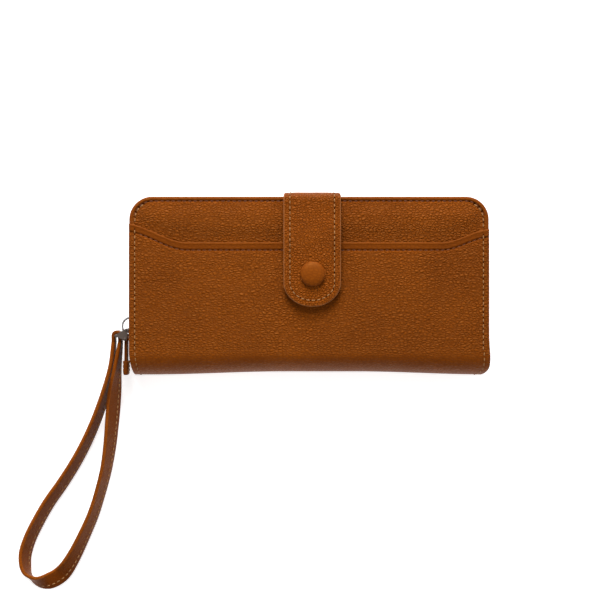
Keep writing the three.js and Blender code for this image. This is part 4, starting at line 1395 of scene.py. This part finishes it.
class WALLET_OT_coin_pocket(bpy.types.Operator):
    """Sew the coin pocket in the middle, with its own zip"""

    bl_idname = "wallet.coin_pocket"
    bl_label = "Coin pocket"

    def execute(self, context):
        for side, inward in (("back", -1), ("front", 1)):
            self.make_wall(side, inward)
            self.make_zip_side(side)
        self.make_edge()
        self.make_slider()
        self.make_pull()
        return {"FINISHED"}

    def make_wall(self, side, outward):
        node = f"coin_pocket_{side}"
        low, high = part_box(node)
        bm = bmesh.new()
        add_box(bm, low, high, 0.2 * MM, 2)
        finish_piece(bm, f"{node}_cloth", "lining_cloth", "coin_pocket", [node])
        face = high.z if outward > 0 else low.z
        lip = face + outward * 0.2 * MM
        hem = bmesh.new()
        hem_low = (low.x + 2 * MM, high.y - 5 * MM, min(face - outward * 0.1 * MM, lip))
        hem_high = (high.x - 2 * MM, high.y + 0.02 * MM, max(face - outward * 0.1 * MM, lip))
        add_box(hem, hem_low, hem_high, 0.09 * MM, 2)
        finish_piece(hem, f"{node}_hem", "card_leather", "coin_pocket")
        thread = bmesh.new()
        level = lip + outward * 0.02 * MM
        ends = [Vector((low.x + 4 * MM, high.y - 4 * MM, level)), Vector((high.x - 4 * MM, high.y - 4 * MM, level))]
        add_seam(thread, None, ends, UP * outward)
        finish_piece(thread, f"{node}_hem_seam", "beige_thread", "coin_pocket")

    def make_edge(self):
        """The cloth that closes the pocket's bottom and sides."""
        low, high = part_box("coin_pocket_edge")
        wall = 0.5 * MM
        line = [(low.x + wall, high.y), (low.x + wall, low.y + wall), (high.x - wall, low.y + wall), (high.x - wall, high.y)]
        middle = (low.z + high.z) / 2
        bm = bmesh.new()
        for (x0, y0), (x1, y1) in zip(line, line[1:]):
            shy = 0.02 * MM if x0 == x1 else 0
            corner_low = (min(x0, x1) - wall + shy, min(y0, y1) - wall + shy, low.z + shy)
            corner_high = (max(x0, x1) + wall - shy, max(y0, y1) + (wall if y0 == y1 else 0), high.z - shy)
            add_box(bm, corner_low, corner_high, 0.2 * MM, 2)
        piping = [Vector((x, y, middle)) for x, y in line]
        for start, end in zip(piping, piping[1:]):
            sweep(bm, section_face(bm, 1.3 * MM, 1.3 * MM, 0.5 * MM, 2), places_along([start, end], UP))
        finish_piece(bm, "coin_pocket_edge_cloth", "gusset_cloth", "coin_pocket", ["coin_pocket_edge"])

    def make_zip_side(self, side):
        tape = f"coin_zip_{side}_tape"
        low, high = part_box(tape)
        bm = bmesh.new()
        add_box(bm, low, high, 0.15 * MM, 2)
        finish_piece(bm, f"{tape}_cloth", "tape_cloth", "coin_pocket", [tape])
        teeth = f"coin_zip_{side}_teeth"
        low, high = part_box(teeth)
        pitch = bpy.context.scene.wallet_sizes.tooth_pitch
        middle = (low + high) / 2
        line = [Vector((low.x, middle.y, middle.z)), Vector((high.x, middle.y, middle.z))]
        start = pitch * (0.25 if side == "back" else 0.75)
        bm = bmesh.new()
        add_teeth(bm, line, pitch, start, (0.5 * MM, 0.95 * MM, (high.z - low.z) / 2 + 0.3 * MM), UP)
        finish_piece(bm, f"{teeth}_nylon", "nylon", "coin_pocket", [teeth])

    def make_slider(self):
        """Two rounded plates joined by a thin web, and an arch for the pull."""
        low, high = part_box("coin_slider")
        row_low, row_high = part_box("coin_zip_back_teeth")
        middle = (low + high) / 2
        plate = 0.6 * MM
        face = row_high.y + 0.4 * MM
        under = row_low.y - 0.4 * MM
        bm = bmesh.new()
        add_box(bm, (low.x, face, low.z), (high.x, face + plate, high.z), 0.25 * MM)
        inner_half = 1.7 * MM
        add_box(bm, (low.x, under - plate, middle.z - inner_half), (high.x, under, middle.z + inner_half), 0.25 * MM)
        web = 0.1 * MM
        add_box(bm, (low.x + MM, under - web, middle.z - web), (high.x - MM, face + web, middle.z + web))
        arch = []
        for step in range(13):
            angle = math.pi * step / 12
            reach = high.y - face - 0.5 * MM
            arch.append(Vector((middle.x - 2.6 * MM * math.cos(angle), face + 0.2 * MM + reach * math.sin(angle), middle.z)))
        sweep(bm, section_face(bm, 0.7 * MM, 1.2 * MM, 0.25 * MM), places_along(arch, UP))
        finish_piece(bm, "coin_slider_metal", "silver", "coin_slider", ["coin_slider"])

    def make_pull(self):
        """A flat pull, open at the end that the arch goes through."""
        low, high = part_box("coin_pull")
        middle_z = (low.z + high.z) / 2
        bm = bmesh.new()
        rail = 0.9 * MM
        inner = 0.02 * MM
        add_box(bm, (low.x, low.y, low.z), (high.x - 5.4 * MM, high.y, high.z), 0.3 * MM)
        for z in (low.z + inner, high.z - rail - inner):
            rail_low = (high.x - 5.8 * MM, low.y + inner, z)
            add_box(bm, rail_low, (high.x - inner, high.y - inner, z + rail), 0.3 * MM)
        add_box(bm, (high.x - 0.8 * MM, low.y, low.z), (high.x, high.y, high.z), 0.3 * MM)
        add_box(bm, (low.x + 2 * MM, high.y - 0.1 * MM, middle_z - MM), (high.x - 8 * MM, high.y, middle_z + MM), 0.04 * MM)
        finish_piece(bm, "coin_pull_metal", "silver", "coin_pull", ["coin_pull"])


# ---- The snap tab ----

TAB_THICKNESS = TAB_HIGH.z - TAB_LOW.z
TAB_HALF_WIDTH = (TAB_HIGH.x - TAB_LOW.x) / 2
TAB_OUTER_Y = BRIDGE_HIGH.y
TAB_BEND = 5 * MM
TAB_BEND_CENTRE = Vector((TAB_X, TAB_OUTER_Y - TAB_BEND, TAB_HIGH.z - TAB_BEND))
TAB_FOOT_BEND = 1.8 * MM
TAB_BOW = 0.8 * MM
TAB_ROUND = 13 * MM
TAB_SEAM_INSET = 3.5 * MM
TAB_BEND_LENGTH = TAB_BEND * math.pi / 2
TAB_DROP = TAB_BEND_CENTRE.z - TAB_FOOT_BEND
TAB_FOOT_LENGTH = TAB_FOOT_BEND * math.pi / 2
TAB_SEWN_LENGTH = TAB_OUTER_Y - TAB_FOOT_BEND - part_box("tab_anchor")[0].y
TAB_END = TAB_BEND_CENTRE.y + TAB_BEND_LENGTH + TAB_DROP + TAB_FOOT_LENGTH + TAB_SEWN_LENGTH


def wrap_tab(point):
    """Bends a point of the flat tab over the zipped edge, down it and in under the back cover."""
    depth = TAB_HIGH.z - point.z
    past = point.y - TAB_BEND_CENTRE.y
    tightest = max(1 - abs(past - TAB_BEND_LENGTH) / TAB_BEND, 0.0)
    point.x -= (point.x - TAB_X) * 0.045 * tightest**2
    if past <= 0:
        crown = smooth_step(point.y, 15 * MM, 25 * MM) * (1 - smooth_step(point.y, 22 * MM, 46 * MM))
        point.z += TAB_BOW * (crown - smooth_step(point.y, 24 * MM, 46 * MM))
        return
    if past < TAB_BEND_LENGTH:
        angle = past / TAB_BEND
        point.y = TAB_BEND_CENTRE.y + (TAB_BEND - depth) * math.sin(angle)
        point.z = TAB_BEND_CENTRE.z + (TAB_BEND - depth - TAB_BOW) * math.cos(angle)
        return
    past -= TAB_BEND_LENGTH
    depth *= 1 - 0.34 * smooth_step(past, TAB_DROP - 5 * MM, TAB_DROP)
    if past < TAB_DROP:
        point.y = TAB_OUTER_Y - depth
        point.z = TAB_BEND_CENTRE.z - past
        return
    past -= TAB_DROP
    if past < TAB_FOOT_LENGTH:
        angle = past / TAB_FOOT_BEND
        point.y = TAB_OUTER_Y - TAB_FOOT_BEND + (TAB_FOOT_BEND - depth) * math.cos(angle)
        point.z = TAB_FOOT_BEND - (TAB_FOOT_BEND - depth) * math.sin(angle)
        return
    point.y = TAB_OUTER_Y - TAB_FOOT_BEND - (past - TAB_FOOT_LENGTH)
    point.z = depth


def make_flat_tab():
    """The tab laid out flat: a rounded tip, a painted edge all round and a channel for its seam."""
    tip_centre = Vector((TAB_X, TAB_LOW.y + TAB_ROUND, TAB_LOW.z))
    bm = bmesh.new()
    place = Matrix.Translation(tip_centre) @ Matrix.Diagonal((TAB_HALF_WIDTH, TAB_ROUND, 1, 1))
    bmesh.ops.create_circle(bm, cap_ends=True, segments=72, radius=1, matrix=place)
    far_half = [vert for vert in bm.verts if vert.co.y > tip_centre.y + 0.01 * MM]
    far_half.sort(key=lambda vert: vert.co.x)
    for vert, side in ((far_half[0], -1), (far_half[-1], 1)):
        vert.co = (TAB_X + side * TAB_HALF_WIDTH, TAB_END, TAB_LOW.z)
    bmesh.ops.dissolve_verts(bm, verts=far_half[1:-1])
    low, high = TAB_LOW.z, TAB_HIGH.z
    top = raise_face(bm, bm.faces[:][0], high - 0.75 * MM)
    add_rings(bm, top, [(0.16 * MM, high - 0.34 * MM), (0.32 * MM, high - 0.08 * MM), (0.5 * MM, high)])
    painted = set(bm.faces) - {top}
    seam = TAB_SEAM_INSET
    steps = [
        (seam - 0.98 * MM - 0.7 * MM, high),
        (0.35 * MM, high - 0.06 * MM),
        (0.35 * MM, high - 0.16 * MM),
        (0.35 * MM, high - 0.06 * MM),
        (0.5 * MM, high + 0.04 * MM),
        (2.0 * MM, high + 0.1 * MM),
        (1.0 * MM, high + 0.1 * MM),
    ]
    add_rings(bm, top, steps)
    for face in bm.faces:
        face.material_index = 1 if face in painted and abs(face.normal.z) < 0.97 else 0
    stations = [TAB_LOW.y + TAB_ROUND + step * 4 * MM for step in range(1, 8)]
    stations += [TAB_BEND_CENTRE.y - 11.5 * MM + step * MM for step in range(12)]
    stations += [TAB_BEND_CENTRE.y + TAB_BEND_LENGTH * step / 10 for step in range(11)]
    foot = TAB_BEND_CENTRE.y + TAB_BEND_LENGTH
    stations += [foot + TAB_DROP * step / 14 for step in range(1, 14)]
    stations += [foot + TAB_DROP + TAB_FOOT_LENGTH * step / 6 for step in range(7)]
    stations += [foot + TAB_DROP + TAB_FOOT_LENGTH + step * 3 * MM for step in range(1, 6)]
    for station in stations:
        cut_across(bm, (0, station, 0), (0, 1, 0))
    return bm


def tab_seam_line():
    """The seam on the flat tab: up the left side from the sewn end, round the tip and back up the right."""
    half = TAB_HALF_WIDTH - TAB_SEAM_INSET
    centre_y = TAB_LOW.y + TAB_ROUND
    reach = TAB_ROUND - TAB_SEAM_INSET
    level = TAB_HIGH.z - 0.06 * MM
    angles = [math.pi + math.pi * step / 40 for step in range(41)]
    tip = [Vector((TAB_X + half * math.cos(a), centre_y + reach * math.sin(a), level)) for a in angles]
    top = TAB_END - 3 * MM
    return [Vector((TAB_X - half, top, level)), *tip, Vector((TAB_X + half, top, level))]


class WALLET_OT_snap_tab(bpy.types.Operator):
    """Cut the snap tab, paint its edge, sew it and bend it over the zipped edge"""

    bl_idname = "wallet.snap_tab"
    bl_label = "Snap tab"

    def execute(self, context):
        middle_of_drop = TAB_BEND_CENTRE.y + TAB_BEND_LENGTH + TAB_DROP * 0.45
        middle_of_shoulder = TAB_BEND_CENTRE.y - 3.5 * MM
        foot = (TAB_X, TAB_OUTER_Y - 3.4 * MM, 0)
        above_foot = (TAB_X, TAB_OUTER_Y, 5 * MM)
        below_bend = (TAB_X, TAB_OUTER_Y, 22 * MM)
        on_shoulder = (TAB_X, middle_of_shoulder - 0.3 * MM, TAB_HIGH.z)
        fold_start = (TAB_X, TAB_LOW.y + 51.9 * MM, TAB_HIGH.z)
        fold_end = (TAB_X, TAB_LOW.y + 45.9 * MM, TAB_HIGH.z)
        self.make_part("tab_foot", middle_of_drop, None, ["tab_anchor"], "back", "tab_bridge", foot, above_foot)
        self.make_part(
            "tab_corner",
            middle_of_shoulder,
            middle_of_drop,
            ["tab_bridge", "tab_shoulder"],
            "tab_bridge",
            "tab_shoulder",
            below_bend,
            on_shoulder,
        )
        self.make_part(
            "tab_front", None, middle_of_shoulder, ["tab_flap"], "tab_shoulder", "tab_flap", fold_start, fold_end
        )
        return {"FINISHED"}

    def make_part(self, name, low_y, high_y, nodes, body_a, body_b, start, end):
        """One stretch of the tab, cut from the flat shape, sewn and bent."""
        bm = make_flat_tab()
        for limit, direction in ((low_y, -1), (high_y, 1)):
            if limit is None:
                continue
            everything = [*bm.verts, *bm.edges, *bm.faces]
            cut = bmesh.ops.bisect_plane(
                bm, geom=everything, plane_co=(0, limit, 0), plane_no=(0, direction, 0), clear_outer=True
            )["geom_cut"]
            bmesh.ops.edgeloop_fill(bm, edges=only(cut, bmesh.types.BMEdge), mat_nr=0)
        leather = set(bm.faces)
        hole_shades = bmesh.new()
        for centre, along in even_steps(tab_seam_line(), 2.9 * MM, 1.2 * MM):
            if (low_y or -1) <= centre.y < (high_y or 1):
                add_stitch(bm, centre, along, UP)
                # The dark bead after each stitch is painted shade for a needle hole.
                add_stitch(hole_shades, centre + along * 1.45 * MM, along, UP, 0.8 * MM, 0.32 * MM)
        for face in bm.faces:
            if face not in leather:
                face.material_index = 2
        dots = bpy.data.meshes.new("dots")
        hole_shades.to_mesh(dots)
        hole_shades.free()
        sewn = set(bm.faces)
        bm.from_mesh(dots)
        for face in bm.faces:
            if face not in sewn:
                face.material_index = 3
        for vert in bm.verts:
            wrap_tab(vert.co)
        materials = ["tab_leather_painted_highlight", "edge_paint", "beige_thread", "needle_hole"]
        piece = finish_piece(bm, name, materials, None, nodes, 50)
        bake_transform(piece)


def turn_profile(bm, profile, centre, segments=48):
    """Spins a profile of (radius, height) points round an upright line through the centre."""
    verts = [bm.verts.new((centre.x + radius, centre.y, height)) for radius, height in profile]
    edges = [bm.edges.new(pair) for pair in zip(verts, verts[1:])]
    bmesh.ops.spin(
        bm,
        geom=[*verts, *edges],
        cent=centre,
        axis=(0, 0, 1),
        angle=math.tau,
        steps=segments,
        use_merge=True,
    )
    bmesh.ops.remove_doubles(bm, verts=bm.verts, dist=0.001 * MM)


class WALLET_OT_snap(bpy.types.Operator):
    """Turn the snap's covered cap, its socket and its stud"""

    bl_idname = "wallet.snap"
    bl_label = "Snap"

    def execute(self, context):
        self.make_cap()
        self.make_socket()
        self.make_stud()
        return {"FINISHED"}

    def make_cap(self):
        low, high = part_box("snap_cap")
        radius = (high.x - low.x) / 2
        foot = TAB_HIGH.z
        profile = [(0, foot), (radius - 0.9 * MM, foot), (radius - 0.35 * MM, foot + 0.25 * MM)]
        dome_foot = foot + 1.05 * MM
        for step in range(1, 15):
            angle = math.pi / 2 * step / 14
            profile.append((radius * math.cos(angle) ** 0.72, dome_foot + (high.z - dome_foot) * math.sin(angle)))
        profile.insert(3, (radius, dome_foot))
        profile[-1] = (0, high.z)
        bm = bmesh.new()
        turn_profile(bm, profile, SNAP_CENTRE)
        finish_piece(bm, "snap_cap_leather", "smooth_leather", "tab_flap", ["snap_cap"], 60)

    def make_socket(self):
        low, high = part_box("snap_socket")
        radius, hole = (high.x - low.x) / 2, 2.6 * MM
        soft = 0.2 * MM
        profile = [
            (hole, low.z + soft),
            (hole + soft, low.z),
            (radius - soft, low.z),
            (radius, low.z + soft),
            (radius, high.z),
            (hole, high.z),
            (hole, low.z + soft),
        ]
        bm = bmesh.new()
        turn_profile(bm, profile, SNAP_CENTRE)
        finish_piece(bm, "snap_socket_metal", "silver", "tab_flap", ["snap_socket"])

    def make_stud(self):
        low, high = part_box("snap_stud")
        radius, post = (high.x - low.x) / 2, 1.6 * MM
        soft = 0.2 * MM
        profile = [
            (0, low.z),
            (radius, low.z),
            (radius, low.z + soft),
            (radius - soft, low.z + 0.5 * MM),
            (post + 0.3 * MM, low.z + 0.5 * MM),
            (post - 0.1 * MM, low.z + 0.7 * MM),
            (post, high.z - 0.3 * MM),
            (post - 0.3 * MM, high.z),
            (0, high.z),
        ]
        bm = bmesh.new()
        turn_profile(bm, profile, SNAP_CENTRE)
        finish_piece(bm, "snap_stud_metal", "silver", "front_cover", ["snap_stud"])


# ---- The main zip's slider, the hanger and the pull tab ----


class WALLET_OT_slider(bpy.types.Operator):
    """Cast the main zip's slider, build the hanger and fold the leather pull tab"""

    bl_idname = "wallet.slider"
    bl_label = "Slider, hanger and pull tab"

    def execute(self, context):
        self.make_slider()
        self.make_hanger()
        self.make_pull_tab()
        return {"FINISHED"}

    def make_slider(self):
        low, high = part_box("zip_slider")
        teeth_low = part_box("back_zip_teeth")[0]
        plate = 0.7 * MM
        outer = teeth_low.x - 0.5 * MM
        inner = teeth_low.x + 2.9 * MM
        low_y, high_y = high.y - 11 * MM, high.y
        middle = (low.z + high.z) / 2
        bm = bmesh.new()
        for x in (outer - plate, inner):
            add_box(bm, (x, low_y, low.z), (x + plate, high_y, high.z), 0.3 * MM)
        for vert in bm.verts:
            narrow = 1 - 0.26 * smooth_step(vert.co.y, low_y + 4 * MM, high_y)
            vert.co.z = middle + (vert.co.z - middle) * narrow
        for x, reach in ((outer - 0.1 * MM, 0.9 * MM), (inner + 0.1 * MM, -0.9 * MM)):
            for z in (low.z + 0.15 * MM, high.z - 0.75 * MM):
                corner_low = (min(x, x + reach), low_y + 0.5 * MM, z)
                corner_high = (max(x, x + reach), low_y + 5 * MM, z + 0.6 * MM)
                add_box(bm, corner_low, corner_high, 0.15 * MM, 2)
        web = 0.2 * MM
        add_box(
            bm, (outer - 0.1 * MM, low_y + MM, middle - web), (inner + 0.1 * MM, high_y - 4 * MM, middle + web)
        )
        arch = []
        centre_y = high_y - 5 * MM
        reach = outer - 0.3 * MM - low.x - 0.45 * MM
        for step in range(17):
            angle = math.pi * step / 16
            arch.append(Vector((outer - 0.3 * MM - reach * math.sin(angle), centre_y + 4.8 * MM * math.cos(angle), middle)))
        sweep(bm, section_face(bm, 1.15 * MM, 2.3 * MM, 0.4 * MM), places_along(arch, UP))
        finish_piece(bm, "zip_slider_metal", "silver", "zip_slider", ["zip_slider"])

    def make_hanger(self):
        """Two small three-cornered plates with a bar through each corner."""
        low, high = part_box("strap_hanger")
        middle = sum(HANGER_BARS, Vector()) / len(HANGER_BARS)
        bm = bmesh.new()
        for level in (low.z, high.z - MM):
            corners = []
            for bar in HANGER_BARS:
                spoke = bar - middle
                corner = middle + spoke * (1 + 1.5 * MM / spoke.length)
                corners.append((corner.x, corner.y, level))
            raise_face(bm, round_corners(bm, add_face(bm, corners).verts[:], 0.8 * MM, 4), level + MM)
        for bar in HANGER_BARS:
            place = Matrix.Translation((bar.x, bar.y, (low.z + high.z) / 2))
            depth = high.z - low.z - 0.2 * MM
            bmesh.ops.create_cone(
                bm, cap_ends=True, segments=16, radius1=0.5 * MM, radius2=0.5 * MM, depth=depth, matrix=place
            )
            for level in (low.z - 0.02 * MM, high.z + 0.02 * MM):
                cap = Matrix.Translation((bar.x, bar.y, level)) @ Matrix.Diagonal((0.75 * MM, 0.75 * MM, 0.35 * MM, 1))
                bmesh.ops.create_uvsphere(bm, u_segments=16, v_segments=8, radius=1, matrix=cap)
        finish_piece(bm, "strap_hanger_metal", "dark_metal", "strap_hanger", ["strap_hanger"])

    def make_pull_tab(self):
        """A narrow strip folded round its bar, its two ends bound by a sewn wrap."""
        low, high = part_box("pull_tab")
        x = PULL_BAR.x
        thick = 0.72 * MM
        eye = 1.12 * MM
        layer = thick / 2 + 0.02 * MM
        angles = [math.pi * (1.38 - 1.76 * step / 18) for step in range(19)]
        bend = [Vector((x + eye * math.cos(a), PULL_BAR.y + eye * math.sin(a), PULL_BAR.z)) for a in angles]
        down = [
            Vector((x - layer, PULL_BAR.y - 3.2 * MM, PULL_BAR.z)),
            Vector((x - layer, low.y + 2 * MM, PULL_BAR.z)),
        ]
        back = [Vector((2 * x - point.x, point.y, point.z)) for point in reversed(down)]
        line = [*reversed(down), *bend, *reversed(back)]
        bm = bmesh.new()
        width = high.z - low.z - 0.3 * MM
        sweep(bm, section_face(bm, thick, width, 0.25 * MM, 2), places_along(line, UP))
        for face in bm.faces:
            face.material_index = 0
        wrap = 1.3 * MM
        add_box(bm, (x - wrap, low.y + 0.1 * MM, low.z), (x + wrap, low.y + 8 * MM, high.z), 0.75 * MM, 4)
        finish_piece(bm, "pull_tab_leather", "strap_leather", "pull_tab", ["pull_tab"])
        thread = bmesh.new()
        for side in (-1, 1):
            for inset in (1.1 * MM, high.z - low.z - 1.1 * MM):
                foot = Vector((x + side * 1.3 * MM, low.y + 1.6 * MM, low.z + inset))
                add_seam(thread, None, [foot, foot + Vector((0, 5.6 * MM, 0))], Vector((side, 0, 0)), 2.2 * MM)
            foot = Vector((x + side * 1.3 * MM, low.y + 1.4 * MM, low.z + 1.4 * MM))
            add_seam(
                thread, None, [foot, foot + Vector((0, 0, high.z - low.z - 2.8 * MM))], Vector((side, 0, 0)), 2.2 * MM
            )
        finish_piece(thread, "pull_tab_stitches", "beige_thread", "pull_tab")


# ---- The sidebar and the run ----

STEPS = (
    WALLET_OT_stage,
    WALLET_OT_wrist_strap,
    WALLET_OT_front_cover,
    WALLET_OT_slip_pocket,
    WALLET_OT_back_cover,
    WALLET_OT_side_seams,
    WALLET_OT_inside,
    WALLET_OT_gussets,
    WALLET_OT_main_zip,
    WALLET_OT_coin_pocket,
    WALLET_OT_snap_tab,
    WALLET_OT_snap,
    WALLET_OT_slider,
)


class WALLET_PT_panel(bpy.types.Panel):
    """Buttons for the wallet's steps, with its sizes and colours"""

    bl_idname = "WALLET_PT_panel"
    bl_label = "Long wallet"
    bl_space_type = "VIEW_3D"
    bl_region_type = "UI"
    bl_category = "Wallet"

    def draw(self, context):
        column = self.layout.column()
        for group in (context.scene.wallet_sizes, context.scene.wallet_colours):
            for name in group.__annotations__:
                column.prop(group, name)
        for step in STEPS:
            column.operator(step.bl_idname)


CLASSES = (WalletSizes, WalletColours, *STEPS, WALLET_PT_panel)


def register():
    for item in CLASSES:
        bpy.utils.register_class(item)
    bpy.types.Scene.wallet_sizes = PointerProperty(type=WalletSizes)
    bpy.types.Scene.wallet_colours = PointerProperty(type=WalletColours)


def unregister():
    del bpy.types.Scene.wallet_colours
    del bpy.types.Scene.wallet_sizes
    for item in reversed(CLASSES):
        bpy.utils.unregister_class(item)


def main():
    register()
    for step in STEPS:
        group, name = step.bl_idname.split(".")
        getattr(getattr(bpy.ops, group), name)()


if __name__ == "__main__":
    main()
